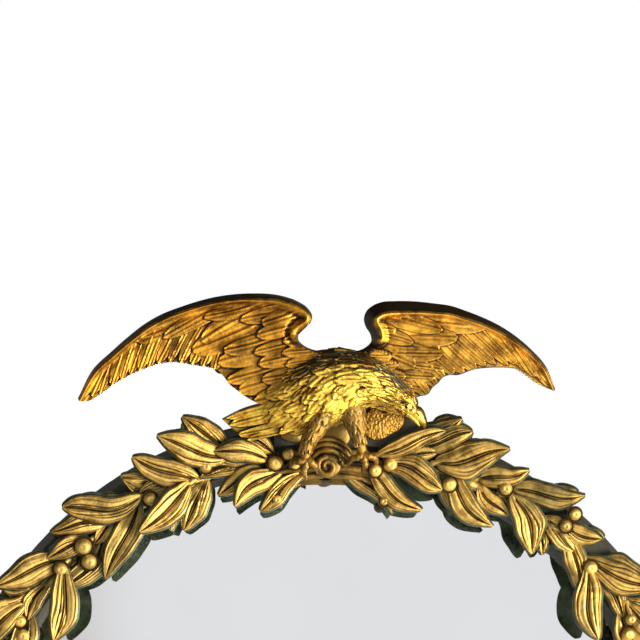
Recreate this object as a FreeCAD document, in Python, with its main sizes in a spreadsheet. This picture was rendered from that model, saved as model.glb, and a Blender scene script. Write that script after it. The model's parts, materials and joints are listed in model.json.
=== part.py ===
"""A round convex mirror in a carved and gilded laurel frame, crested by a spread eagle.

The model is in millimetres. X runs to the right, Z up, and the wall is the plane Y = 0 with the
room at negative Y. The origin is the centre of the hole in the hanging plate. Every piece is drawn
about the centre of the round frame and then lowered by hang_drop, so depths are distances from the
wall and ring angles count from the top of the frame.
"""
import FreeCAD, Part
import math
import os

import Sketcher
from FreeCAD import Placement, Rotation, Vector

# Driving dimensions: name, value in millimetres (or degrees where it says so), what it is.
SIZES = [
    ("hang_drop", 383.0, "hanging hole above the centre of the frame"),
    ("sight_radius", 344.0, "opening in front of the glass"),
    ("glass_rabbet_radius", 353.0, "step that the glass lies in"),
    ("board_rabbet_radius", 358.0, "step that the backboard lies in"),
    ("rim_radius", 374.0, "inside of the rim that touches the wall"),
    ("front_radius", 386.0, "outside of the ring at its front face"),
    ("ring_draft", 6.0, "how much wider the ring is at the wall"),
    ("front_inner_radius", 349.0, "inside of the front face"),
    ("ring_depth", 46.0, "wall to the front face of the ring"),
    ("inner_bevel_depth", 38.0, "wall to the bevel at the sight edge"),
    ("shoulder_depth", 26.0, "wall to the shoulder that holds the glass"),
    ("board_ledge_depth", 16.0, "wall to the front of the backboard"),
    ("button_ledge_depth", 8.0, "wall to the back of the backboard"),
    ("glass_radius", 352.0, "edge of the glass"),
    ("glass_curve_radius", 1730.0, "radius of the convex glass"),
    ("glass_thickness", 3.0, "thickness of the glass"),
    ("seat_gap", 0.3, "gap between curved or loose faces"),
    ("fit_gap", 0.05, "radial gap of screws and pivots"),
    ("block_width", 7.0, "glazing block across the rabbet"),
    ("block_angle", 5.0, "length of a glazing block, in degrees of the ring"),
    ("board_gap", 0.5, "gap round the backboard"),
    ("board_width", 240.0, "width of the middle board"),
    ("button_pivot_radius", 366.0, "turn button pivots from the ring centre"),
    ("button_reach", 17.0, "pivot to the centre of the button's nose"),
    ("button_hub_radius", 6.0, "round end of a turn button at its screw"),
    ("button_nose_radius", 5.0, "round nose of a turn button"),
    ("button_thickness", 3.5, "thickness of a turn button"),
    ("button_screw_radius", 2.0, "shank of a turn button's screw"),
    ("button_head_radius", 4.5, "head of a turn button's screw"),
    ("button_head_height", 1.8, "height of that head"),
    ("button_screw_length", 18.0, "shank of a turn button's screw, length"),
    ("hang_plate_width", 60.0, "hanging plate, width"),
    ("hang_plate_height", 15.0, "hanging plate, height"),
    ("hang_plate_thickness", 2.0, "hanging plate, thickness"),
    ("hang_hole_radius", 4.5, "hole for the wall hook"),
    ("hook_pocket_radius", 8.0, "room for the hook's head behind the plate"),
    ("hook_pocket_depth", 14.0, "depth of that room"),
    ("plate_screw_spacing", 44.0, "between the hanging plate's two screws"),
    ("plate_screw_head_radius", 3.5, "countersunk head in the hanging plate"),
    ("plate_screw_radius", 1.8, "shank of a hanging plate or strap screw"),
    ("plate_screw_length", 18.0, "length of those screws"),
    ("d_wire_radius", 1.6, "wire of the D-rings"),
    ("d_half_width", 12.0, "D-ring, bar centre to side wire"),
    ("d_pivot_radius", 370.5, "D-ring pivot from the ring centre"),
    ("d_pivot_depth", 4.2, "wall to the D-ring pivot"),
    ("eye_radius", 3.2, "rolled eye of the strap, outside"),
    ("eye_length", 14.0, "rolled eye of the strap, length"),
    ("strap_thickness", 1.5, "strap plate"),
    ("strap_width", 22.0, "strap plate along the ring"),
    ("strap_near_radius", 377.0, "strap plate, inner end of its wide part"),
    ("strap_far_radius", 390.5, "strap plate, outer end"),
    ("strap_screw_spacing", 14.0, "between the strap's two screws"),
    ("strap_screw_radius", 384.0, "strap screws from the ring centre"),
    ("strap_screw_head_radius", 2.6, "countersunk head in the strap"),
    ("crest_board_thickness", 10.0, "board behind the eagle"),
    ("crest_board_radius", 368.0, "lower edge of that board from the ring centre"),
    ("crest_board_left", 52.0, "board to the left of the middle"),
    ("crest_board_right", 84.0, "board to the right of the middle"),
    ("crest_board_rise", 44.0, "top of that board above the front of the ring"),
    ("crest_block_half_width", 34.0, "glue block behind the crest board"),
    ("crest_block_back", 18.0, "wall to the back of the glue block"),
    ("crest_screw_radius", 2.2, "shank of the crest screws"),
    ("crest_screw_head_radius", 4.5, "heads of the crest screws"),
    ("crest_screw_end", 24.0, "wall to the points of the crest screws"),
    ("eagle_screw_end", 74.0, "wall to the points of the eagle's screws"),
    ("wing_thickness", 10.0, "ground of the wings"),
    ("covert_thickness", 14.0, "wings at their covert feathers"),
    ("wing_rim_thickness", 18.0, "wings at the rolled leading edge"),
    ("wing_rim_width", 10.0, "width of the rolled leading edge"),
    ("wing_rim_inset", 2.0, "step from the wing's outline to the rolled edge"),
    ("covert_inset", 6.0, "step from the wing's outline to the covert feathers"),
    ("tail_thickness", 16.0, "tail feathers"),
    ("strip_height", 14.0, "iron strap across the wings, height"),
    ("strip_rise", 59.0, "iron strap above the front of the ring"),
    ("strip_left", 112.0, "iron strap to the left of the middle"),
    ("strip_right", 112.0, "iron strap to the right of the middle"),
    ("strip_screw_radius", 1.8, "shank of the iron strap's screws"),
    ("strip_screw_head_radius", 4.0, "heads of those screws"),
    ("strip_screw_end", 63.0, "wall to the points of those screws"),
    ("strip_back", 53.0, "wall to the back of the iron strip"),
    ("scroll_radius", 14.0, "rolled middle of the scroll"),
    ("scroll_eye_radius", 6.5, "raised eye of the scroll"),
    ("scroll_thickness", 30.0, "scroll in front of the ring"),
    ("scroll_eye_rise", 5.0, "eye of the scroll above its face"),
    ("scroll_centre", 347.0, "middle of the scroll above the ring centre"),
    ("arch_inner_radius", 333.0, "inner edge of the scroll's arms"),
    ("arch_outer_radius", 345.0, "outer edge of the scroll's arms"),
    ("arch_angle", 4.2, "reach of the scroll's arms, in degrees of the ring"),
    ("arch_thickness", 14.0, "scroll's arms in front of the ring"),
    ("spine_radius", 358.0, "middle line of the laurel branches"),
    ("stem_width", 14.0, "laurel stem across the ring"),
    ("stem_height", 9.0, "laurel stem in front of the ring"),
    ("leaf_thickness", 7.0, "laurel leaves"),
    ("leaf_lift", 6.6, "leaf base in front of the ring"),
    ("leaf_layer", 4.5, "one layer of leaves in front of the next"),
    ("leaf_tilt", 11.0, "leaf tips forward, in degrees"),
    ("berry_height", 17.0, "berry centres in front of the ring"),
    ("stalk_radius", 3.0, "stalks of the berries"),
    ("twig_radius", 3.5, "twigs between the stem and its outer leaves"),
    ("foot_angle", 3.2, "half the gap between the branches at the foot, in degrees"),
    ("rosette_radius", 19.0, "boss at the foot of the ring"),
    ("rosette_thickness", 16.0, "boss in front of the ring"),
    ("rosette_dome_radius", 8.0, "domed middle of the boss"),
]

BUTTON_ANGLES = (25, 90, 145, 215, 270, 335)
BLOCK_COUNT = 12
D_RING_ANGLES = {"left": -52, "right": 52}

# Laurel leaves: ring angle and distance outside the spine of the leaf's base, heading from the
# direction away from the top (degrees, positive outwards), length, width, layer.
APEX_LEAVES = {
    "left": {
        1: [(3.4, -19, -36, 60, 16, 0), (7.2, -14, -29, 61, 22, 1), (10.0, -11, -18, 54, 18, 0),
            (9.4, -1, 19, 56, 20, 2), (8.2, 3, 39, 38, 14, 1), (15.0, 18, 50, 57, 22, 1),
            (14.5, 10, 30, 66, 25, 2), (14.0, -3, 0, 42, 16, 0)],
        2: [(20.8, -3, 40, 72, 25, 1), (25.4, 2, 37, 52, 17, 0), (22.5, -2, -21, 71, 24, 2),
            (25.1, -12, -50, 34, 15, 1), (19.7, -5, -46, 56, 25, 0), (25.0, 2, 6, 40, 16, 0)],
        3: [(30.3, 8, 23, 80, 26, 2), (31.1, 4, -35, 84, 25, 1), (35.5, 1, -10, 35, 14, 0),
            (38.0, 6, 30, 52, 18, 1), (39.0, -3, -14, 66, 24, 0), (41.0, 2, 18, 48, 18, 1)],
    },
    "right": {
        1: [(3.5, -18, -39, 62, 15, 0), (6.9, -9, -33, 70, 18, 1), (9.5, -7, -13, 63, 24, 2),
            (8.3, 3, 28, 72, 18, 2), (11.6, 1, 22, 43, 14, 1), (13.2, 28, 33, 52, 17, 0),
            (14.5, 18, 32, 56, 22, 1)],
        2: [(17.5, 8, 29, 76, 30, 2), (24.7, 8, 35, 52, 20, 1), (20.6, 1, -31, 65, 23, 1),
            (25.3, 3, -21, 43, 18, 0), (18.6, -4, -46, 40, 16, 0)],
        3: [(30.1, 14, 26, 74, 22, 1), (30.5, 9, -41, 62, 27, 2), (35.6, 1, -41, 37, 14, 0),
            (37.0, 8, -11, 44, 20, 1), (41.1, 12, -36, 62, 20, 0), (39.0, 16, 15, 46, 17, 1),
            (36.0, 2, 8, 40, 15, 0)],
    },
}
# The leaves of one plain spray, with ring angles from the start of the spray.
PLAIN_LEAVES = [
    (1.0, 6, 25, 76, 25, 1), (1.5, 3, -36, 78, 25, 2), (5.5, 1, -8, 44, 16, 0),
    (8.5, 7, 33, 56, 19, 0), (11.0, -1, -22, 64, 23, 1), (10.5, 9, 14, 68, 22, 2),
    (16.0, -2, -44, 50, 20, 0), (16.5, 5, 38, 58, 20, 1), (18.5, 0, 2, 46, 17, 0),
]
# Berries: ring angle, distance outside the spine, radius.
APEX_BERRIES = {
    "left": {1: [(8.3, -5, 7.5), (6.1, 2, 6.0), (5.1, -8, 6.0), (8.9, -42, 5.0)],
             2: [(19.2, 8, 6.5)],
             3: [(29.3, 1, 7.0), (42.4, 2, 8.5), (43.4, -13, 8.0)]},
    "right": {1: [(10.5, -5, 7.5), (8.2, -13, 6.5), (10.6, -42, 5.0)],
              2: [(20.6, -8, 7.5)],
              3: [(29.1, 12, 7.0), (40.0, 30, 6.5), (40.1, 15, 6.5)]},
}
PLAIN_BERRIES = [(2.5, 2, 7.0), (13.0, 3, 6.5), (14.8, -7, 7.0)]
APEX_SPRAY_ENDS = {1: (1.5, 17.0), 2: (17.0, 28.0), 3: (28.0, 45.0)}
PLAIN_SPRAYS = 6

# Eagle: sections of the body from rump to brow as centre x, centre z, half width, half depth and
# depth of the centre in front of the eagle's flat back.
BODY_SECTIONS = [
    (-86, 392, 10, 10, 6), (-66, 397, 18, 15, 8), (-40, 405, 26, 20, 10), (-12, 418, 33, 25, 12),
    (12, 428, 33, 27, 13), (32, 431, 27, 26, 15), (50, 427, 20, 22, 18), (66, 418, 15, 17, 20),
    (77, 409, 11.5, 13, 21), (83, 403, 7, 8, 21),
]
BEAK = [((79, 407), 9.0), ((92, 397), 5.5), ((97, 386), 1.0)]
EYE = ((77, 411), 3.2)
TAIL_POINTS = [(-60, 408), (-84, 404), (-104, 393.4), (-97, 385), (-92, 378), (-80, 371), (-58, 380)]
LEGS = {"left": ((-4, 397), (-20, 362), (-21, 350)), "right": ((26, 404), (34, 368), (38, 357))}
THIGH_RADIUS, ANKLE_RADIUS, FOOT_RADIUS, CLAW_LENGTH, CLAW_RADIUS = 13.0, 5.5, 6.5, 13.0, 2.6
LEG_FORWARD, FOOT_FORWARD = 16.0, 26.0

DRAWN_RADIUS = 386.0  # front of the ring that the eagle's points are drawn for

# Wing outlines as strands of points joined end to end; each strand is one smooth curve.
WINGS = {
    "left": {
        "leading": [(-248, 413), (-214, 461), (-180, 489), (-145, 505), (-111, 515), (-77, 519),
                    (-42, 516), (-18, 504), (-14, 494), (-22, 484)],
        "root": [(-22, 484), (-28, 473), (-16, 463), (4, 461)],
        "inside": [(4, 461), (-20, 425), (-60, 405)],
        "trailing": [(-60, 405), (-87, 420), (-116, 444), (-156, 449), (-180, 443), (-209, 429.5),
                     (-236, 412)],
        "covert": [(-205, 468), (-170, 474), (-134, 478), (-104, 466), (-97, 435), (-74, 410)],
    },
    "right": {
        "leading": [(230, 422), (219.5, 447), (191, 475), (158, 494), (125, 506), (90, 510.4),
                    (55, 509.6), (40.4, 500.5), (39.6, 485.6)],
        "root": [(39.6, 485.6), (45, 470.6), (36, 462), (17, 460)],
        "inside": [(17, 460), (36, 430), (88, 413)],
        "trailing": [(88, 413), (113, 429), (145, 439), (175, 444), (209.5, 430), (224, 420)],
        "covert": [(205, 464), (175, 470), (140, 466), (118, 452), (108, 430), (92, 414)],
    },
}
# Screws of the crest: distance to the right of the middle, and above the front of the ring.
CREST_SCREWS = ((-10, -8), (26, -8))
EAGLE_SCREWS = ((-6, 27), (30, 27))
STRIP_SCREW_X = (-98, -60, -14, 22, 62, 98)

doc = FreeCAD.newDocument("LaurelMirror")
sheet = doc.addObject("Spreadsheet::Sheet", "Sizes")
for row, (alias, value, note) in enumerate(SIZES, 1):
    sheet.set(f"A{row}", note)
    sheet.set(f"B{row}", str(value))
    sheet.setAlias(f"B{row}", alias)
doc.recompute()

SUBPARTS = []


def val(alias):
    """The number that the sheet holds under a name."""
    return float(sheet.get(alias))


def cell(text):
    """Turn plain size names into references to the sheet."""
    for alias in sorted((entry[0] for entry in SIZES), key=len, reverse=True):
        text = text.replace("{" + alias + "}", "Sizes." + alias)
    return text


def bind(item, **sizes):
    """Tie properties to expressions; a double underscore in a keyword stands for a dot."""
    for prop, text in sizes.items():
        item.setExpression(prop.replace("__", "."), cell(text))
    return item


def finish(item, label, angle=0.0):
    """Name a sub-part, turn it about the ring's axis and lower it to its place."""
    item.Label = label
    item.Placement = Placement(Vector(0, 0, -val("hang_drop")), Rotation(Vector(0, 1, 0), angle))
    item.setExpression("Placement.Base.z", cell("-{hang_drop}"))
    SUBPARTS.append(item)
    return item


def feature(label, shape, angle=0.0):
    """A carved piece whose shape is worked out in code."""
    item = doc.addObject("Part::Feature", label)
    item.Shape = shape
    return finish(item, label, angle)


def boolean(kind, name, base, tool):
    """Part::Cut or Part::Common of two objects."""
    item = doc.addObject(kind, name)
    item.Base, item.Tool = base, tool
    return item


def fuse(name, pieces):
    """One solid out of several objects."""
    item = doc.addObject("Part::MultiFuse", name)
    item.Shapes = pieces
    return item


def group(name, pieces):
    """Several separate solids in one node."""
    item = doc.addObject("Part::Compound", name)
    item.Links = pieces
    return item


def peg(name, radius, front, back, x="0", z="0"):
    """A cylinder along Y from one depth to another; all its sizes are expressions."""
    item = doc.addObject("Part::Cylinder", name)
    item.Placement = Placement(Vector(0, 0, 0), Rotation(Vector(1, 0, 0), -90))
    return bind(item, Radius=radius, Height=f"({front}) - ({back})", Placement__Base__x=x,
                Placement__Base__y=f"-({front})", Placement__Base__z=z)


def block(name, left, right, bottom, top, front, back):
    """A box between two planes each way; depths count from the wall."""
    item = doc.addObject("Part::Box", name)
    return bind(item, Length=f"({right}) - ({left})", Width=f"({front}) - ({back})",
                Height=f"({top}) - ({bottom})", Placement__Base__x=left,
                Placement__Base__y=f"-({front})", Placement__Base__z=bottom)


def measure(text):
    """The value that a size expression has now, read from a spare cell of the sheet."""
    sheet.set("D1", "=" + text.replace("{", "").replace("}", ""))
    sheet.recompute()
    return float(sheet.get("D1"))


def sketch_on(body, role, name, points):
    """A closed outline on an origin plane, each corner tied to two size expressions."""
    sketch = body.newObject("Sketcher::SketchObject", name)
    plane = next(item for item in body.Origin.OriginFeatures if item.Role == role)
    sketch.AttachmentSupport = (plane, "")
    sketch.MapMode = "FlatFace"
    corners = [Vector(measure(across), measure(along), 0) for across, along in points]
    for index, corner in enumerate(corners):
        following = corners[(index + 1) % len(corners)]
        sketch.addGeometry(Part.LineSegment(corner, following), False)
    for index in range(len(corners)):
        following = (index + 1) % len(corners)
        sketch.addConstraint(Sketcher.Constraint("Coincident", index, 2, following, 1))
    for index, (across, along) in enumerate(points):
        for kind, text, number in (("DistanceX", across, corners[index].x),
                                   ("DistanceY", along, corners[index].y)):
            rule = sketch.addConstraint(Sketcher.Constraint(kind, -1, 1, index, 1, number))
            sketch.setExpression(f"Constraints[{rule}]", cell(text))
    return sketch


def turned(name, points):
    """A ring turned about Y from a profile of (radius, place on Y) expressions."""
    body = doc.addObject("PartDesign::Body", name)
    sketch = sketch_on(body, "XY_Plane", name + "_profile", points)
    turn = body.newObject("PartDesign::Revolution", name + "_turn")
    turn.Profile = sketch
    turn.ReferenceAxis = (sketch, ["V_Axis"])
    turn.Angle = 360.0
    body.Tip = turn
    return body


def plate(name, corners, front, back):
    """A flat plate between two depths, its outline given as (x, z) expressions."""
    body = doc.addObject("PartDesign::Body", name)
    sketch = sketch_on(body, "XZ_Plane", name + "_outline", corners)
    sketch.AttachmentOffset = Placement(Vector(0, 0, measure(back)), Rotation())
    bind(sketch, AttachmentOffset__Base__z=back)
    pad = body.newObject("PartDesign::Pad", name + "_pad")
    pad.Profile = sketch
    bind(pad, Length=f"({front}) - ({back})")
    body.Tip = pad
    return body


def rectangle(left, right, bottom, top):
    """Corners of a rectangle out of four expressions."""
    return [(left, bottom), (right, bottom), (right, top), (left, top)]


def spun(item, angle, name):
    """An object that is drawn at the top of the ring, carried to a ring angle."""
    holder = group(name, [item])
    holder.Placement = Placement(Vector(0, 0, 0), Rotation(Vector(0, 1, 0), angle))
    return holder


def at_ring(radius, angle):
    """Expressions for x and z of a point at a ring angle."""
    return {"x": f"({radius}) * sin({angle})", "z": f"({radius}) * cos({angle})"}


def screw(name, head, shank, front, seat, back, x, z):
    """A screw along Y: head from its seat to the back, shank from its point to the seat."""
    return fuse(name, [peg(name + "_head", head, seat, back, x, z),
                       peg(name + "_shank", shank, front, seat, x, z)])


# ---- ring, glass and backboard -------------------------------------------------------------

def screw_holes():
    """Holes in the ring for every screw that bites into it."""
    shank = "{plate_screw_radius} + {fit_gap}"
    holes = [peg(f"plate_screw_hole_{side + 2}", shank, "{plate_screw_length} + 1", "-1",
                 f"{side} * {{plate_screw_spacing}} / 2", "{hang_drop}") for side in (-1, 1)]
    for index, (x, rise) in enumerate(CREST_SCREWS, 1):
        holes.append(peg(f"crest_screw_hole_{index}", "{crest_screw_radius} + {fit_gap}",
                         "{ring_depth} + 1", "{crest_screw_end} - 1", str(x), above_ring(rise)))
    for index, angle in enumerate(BUTTON_ANGLES, 1):
        holes.append(peg(f"button_screw_hole_{index}", "{button_screw_radius} + {fit_gap}",
                         "{button_ledge_depth} + {button_screw_length} + 1", "0",
                         **at_ring("{button_pivot_radius}", angle)))
    return holes


def strap_pocket(side, angle):
    """Recess for a D-ring strap, with the holes for its two screws."""
    half = "{strap_width} / 2 + {fit_gap}"
    cutters = [block(f"strap_recess_{side}", f"-({half})", half, "{rim_radius} - 2",
                     "{strap_far_radius} + {fit_gap}", "{strap_thickness}", "-1")]
    for sign in (-1, 1):
        cutters.append(peg(f"strap_screw_hole_{side}_{sign + 2}",
                           "{plate_screw_radius} + {fit_gap}", "{plate_screw_length} + 1", "-1",
                           f"{sign} * {{strap_screw_spacing}} / 2", "{strap_screw_radius}"))
    return spun(fuse(f"strap_pocket_{side}", cutters), angle, f"strap_pocket_{side}_turned")


def make_ring():
    """Turned ring with its rabbets, the pockets let into its back and its screw holes."""
    blank = turned("ring_blank", [
        ("{rim_radius}", "0"), ("{front_radius} + {ring_draft}", "0"), ("{front_radius}", "-{ring_depth}"),
        ("{front_inner_radius}", "-{ring_depth}"), ("{sight_radius}", "-{inner_bevel_depth}"),
        ("{sight_radius}", "-{shoulder_depth}"), ("{glass_rabbet_radius}", "-{shoulder_depth}"),
        ("{glass_rabbet_radius}", "-{board_ledge_depth}"),
        ("{board_rabbet_radius}", "-{board_ledge_depth}"),
        ("{board_rabbet_radius}", "-{button_ledge_depth}"),
        ("{rim_radius}", "-{button_ledge_depth}")])
    half = "{hang_plate_width} / 2 + {fit_gap}"
    rise = "{hang_plate_height} / 2 + {fit_gap}"
    cutters = [block("plate_recess", f"-({half})", half, f"{{hang_drop}} - ({rise})",
                     f"{{hang_drop}} + {rise}", "{hang_plate_thickness}", "-1"),
               peg("hook_pocket", "{hook_pocket_radius}", "{hook_pocket_depth}", "-1",
                   z="{hang_drop}")]
    cutters += screw_holes()
    cutters += [strap_pocket(side, angle) for side, angle in D_RING_ANGLES.items()]
    finish(boolean("Part::Cut", "ring_cut", blank, group("ring_cutters", cutters)), "ring_core")


def make_glass():
    """Convex shell of glass, its front just clear of the ring's shoulder."""
    centre = ("-{shoulder_depth} + {seat_gap}"
              " + sqrt({glass_curve_radius}^2 - {sight_radius}^2)")
    balls = []
    for name, radius in (("glass_front", "{glass_curve_radius}"),
                         ("glass_back", "{glass_curve_radius} - {glass_thickness}")):
        ball = doc.addObject("Part::Sphere", name)
        balls.append(bind(ball, Radius=radius, Placement__Base__y=centre))
    shell = boolean("Part::Cut", "glass_shell", *balls)
    disc = peg("glass_disc", "{glass_radius}", "2 * {ring_depth}", "0")
    finish(boolean("Part::Common", "glass_cap", disc, shell), "mirror_glass")


def make_glazing_blocks():
    """Small blocks glued into the rabbet behind the rim of the glass."""
    front = ("{shoulder_depth} - {seat_gap} - {glass_thickness}"
             " - ({glass_radius}^2 - {sight_radius}^2) / (2 * {glass_curve_radius}) - 3 * {seat_gap}")
    blocks = []
    for index in range(BLOCK_COUNT):
        outer = doc.addObject("Part::Cylinder", f"block_outer_{index}")
        bind(outer, Radius="{glass_rabbet_radius}", Angle="{block_angle}",
             Height=f"({front}) - {{board_ledge_depth}}", Placement__Base__y=f"-({front})")
        outer.Placement.Rotation = Rotation(Vector(1, 0, 0), -90)
        inner = peg(f"block_inner_{index}", "{glass_rabbet_radius} - {block_width}",
                    f"({front}) + 1", "{board_ledge_depth} - 1")
        piece = boolean("Part::Cut", f"glazing_block_{index}", outer, inner)
        turn = Rotation(Vector(0, 1, 0), 360.0 * index / BLOCK_COUNT)
        piece.Placement = Placement(Vector(0, 0, 0), turn)
        blocks.append(piece)
    finish(group("glazing_block_set", blocks), "glazing_blocks")


def make_backboard():
    """Three upright boards, butted edge to edge and rounded to the rabbet."""
    far = "{board_rabbet_radius} + 10"
    spans = {"left": (f"-({far})", "-{board_width} / 2"),
             "centre": ("-{board_width} / 2", "{board_width} / 2"),
             "right": ("{board_width} / 2", far)}
    for side, (start, end) in spans.items():
        disc = peg(f"board_disc_{side}", "{board_rabbet_radius} - {board_gap}",
                   "{board_ledge_depth}", "{button_ledge_depth}")
        span = block(f"board_span_{side}", start, end, f"-({far})", far,
                     "{board_ledge_depth} + 1", "{button_ledge_depth} - 1")
        finish(boolean("Part::Common", f"board_{side}", disc, span), f"backboard_{side}")


def make_turn_buttons():
    """Brass turn buttons, each on its own screw, and the screws as one group."""
    front = "{button_ledge_depth} - {seat_gap}"
    back = f"{front} - {{button_thickness}}"
    nose = "{button_pivot_radius} - {button_reach}"
    for index, angle in enumerate(BUTTON_ANGLES, 1):
        arm = fuse(f"button_arm_{index}", [
            peg(f"button_hub_{index}", "{button_hub_radius}", front, back,
                z="{button_pivot_radius}"),
            peg(f"button_nose_{index}", "{button_nose_radius}", front, back, z=nose),
            block(f"button_bar_{index}", "-{button_nose_radius}", "{button_nose_radius}", nose,
                  "{button_pivot_radius}", front, back)])
        hole = peg(f"button_bore_{index}", "{button_screw_radius} + {fit_gap}", f"{front} + 1",
                   f"{back} - 1", z="{button_pivot_radius}")
        finish(boolean("Part::Cut", f"button_{index}", arm, hole), f"turn_button_{index}", angle)
    seat = f"{back} - {{seat_gap}}"
    screws = [screw(f"button_screw_{index}", "{button_head_radius}", "{button_screw_radius}",
                    "{button_ledge_depth} + {button_screw_length}", seat,
                    f"{seat} - {{button_head_height}}",
                    **at_ring("{button_pivot_radius}", angle))
              for index, angle in enumerate(BUTTON_ANGLES, 1)]
    finish(group("button_screw_set", screws), "turn_button_screws")


# ---- hanging hardware ----------------------------------------------------------------------

def make_hang_plate():
    """Brass plate let in flush at the top, with its hook hole and its two screws."""
    half, rise = "{hang_plate_width} / 2", "{hang_plate_height} / 2"
    blank = plate("hang_plate_blank", rectangle(f"-({half})", half, f"{{hang_drop}} - {rise}",
                                                f"{{hang_drop}} + {rise}"),
                  "{hang_plate_thickness}", "0")
    holes = [peg("hook_hole", "{hang_hole_radius}", "{hang_plate_thickness} + 1", "-1",
                 z="{hang_drop}")]
    screws = []
    for side in (-1, 1):
        x = f"{side} * {{plate_screw_spacing}} / 2"
        holes.append(peg(f"plate_countersink_{side + 2}",
                         "{plate_screw_head_radius} + {fit_gap}", "{hang_plate_thickness} + 1",
                         "-1", x, "{hang_drop}"))
        screws.append(screw(f"plate_screw_{side + 2}", "{plate_screw_head_radius}",
                            "{plate_screw_radius}", "{plate_screw_length}",
                            "{hang_plate_thickness}", "0", x, "{hang_drop}"))
    finish(boolean("Part::Cut", "hang_plate_cut", blank, group("plate_holes", holes)),
           "hang_plate")
    finish(group("plate_screw_set", screws), "hang_plate_screws")


def make_d_rings():
    """Two brass straps with rolled eyes, and the D-rings that swing in them."""
    screws = []
    for side, angle in D_RING_ANGLES.items():
        turn = Rotation(Vector(0, 1, 0), 90)
        eye = doc.addObject("Part::Cylinder", f"eye_{side}")
        bore = doc.addObject("Part::Cylinder", f"eye_bore_{side}")
        bar = doc.addObject("Part::Cylinder", f"d_bar_{side}")
        for item, radius, length in ((eye, "{eye_radius}", "{eye_length}"),
                                     (bore, "{d_wire_radius} + {fit_gap}", "{eye_length} + 2"),
                                     (bar, "{d_wire_radius}", "2 * {d_half_width}")):
            item.Placement = Placement(Vector(0, 0, 0), turn)
            bind(item, Radius=radius, Height=length, Placement__Base__x=f"-({length}) / 2",
                 Placement__Base__y="-{d_pivot_depth}", Placement__Base__z="{d_pivot_radius}")
        wide = block(f"strap_wide_{side}", "-{strap_width} / 2", "{strap_width} / 2",
                     "{strap_near_radius}", "{strap_far_radius}", "{strap_thickness}", "0")
        tongue = block(f"strap_tongue_{side}", "-{eye_length} / 2", "{eye_length} / 2",
                       "{d_pivot_radius}", "{strap_near_radius}", "{strap_thickness}", "0")
        holes = [bore]
        for sign in (-1, 1):
            x = f"{sign} * {{strap_screw_spacing}} / 2"
            holes.append(peg(f"strap_countersink_{side}_{sign + 2}",
                             "{strap_screw_head_radius} + {fit_gap}", "{strap_thickness} + 1",
                             "-1", x, "{strap_screw_radius}"))
            screws.append(spun(screw(f"strap_screw_{side}_{sign + 2}",
                                     "{strap_screw_head_radius}", "{plate_screw_radius}",
                                     "{plate_screw_length}", "{strap_thickness}", "0", x,
                                     "{strap_screw_radius}"),
                               angle, f"strap_screw_{side}_{sign + 2}_turned"))
        strap = fuse(f"strap_blank_{side}", [eye, wide, tongue])
        finish(boolean("Part::Cut", f"strap_{side}", strap, group(f"strap_holes_{side}", holes)),
               f"d_ring_strap_{side}", angle)
        bow = doc.addObject("Part::Torus", f"d_bow_{side}")
        bow.Placement = Placement(Vector(0, 0, 0), Rotation(Vector(1, 0, 0), 90))
        bind(bow, Radius1="{d_half_width}", Radius2="{d_wire_radius}",
             Placement__Base__y="-{d_pivot_depth}", Placement__Base__z="{d_pivot_radius}")
        keep = block(f"d_bow_half_{side}", "-2 * {d_half_width}", "2 * {d_half_width}",
                     "{d_pivot_radius} - 2 * {d_half_width}", "{d_pivot_radius}",
                     "{d_pivot_depth} + 5", "{d_pivot_depth} - 5")
        half_bow = boolean("Part::Common", f"d_half_bow_{side}", bow, keep)
        corners = []
        for sign in (-1, 1):
            ball = doc.addObject("Part::Sphere", f"d_corner_{side}_{sign + 2}")
            corners.append(bind(ball, Radius="{d_wire_radius}",
                                Placement__Base__x=f"{sign} * {{d_half_width}}",
                                Placement__Base__y="-{d_pivot_depth}",
                                Placement__Base__z="{d_pivot_radius}"))
        finish(fuse(f"d_ring_{side}_wire", [bar, half_bow] + corners), f"d_ring_{side}", angle)
    finish(group("strap_screw_set", screws), "d_ring_strap_screws")


# ---- crest: board, block, strap and screws -------------------------------------------------

def above_ring(rise):
    """A height given from the front edge of the ring, as an expression."""
    return f"{{front_radius}} + {rise}"


def crest_holes():
    """Holes for the screws that reach the eagle from behind, and for the iron strip's screws."""
    holes = [peg(f"eagle_screw_hole_{index}", "{crest_screw_radius} + {fit_gap}",
                 "{eagle_screw_end} + 1", "{crest_block_back} - 1", str(x), above_ring(rise))
             for index, (x, rise) in enumerate(EAGLE_SCREWS, 1)]
    holes += [peg(f"strip_screw_hole_{index}", "{strip_screw_radius} + {fit_gap}",
                  "{strip_screw_end} + 1", "{strip_back} - 1", str(x), "{front_radius} + {strip_rise}")
              for index, x in enumerate(STRIP_SCREW_X, 1)]
    return holes


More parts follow.
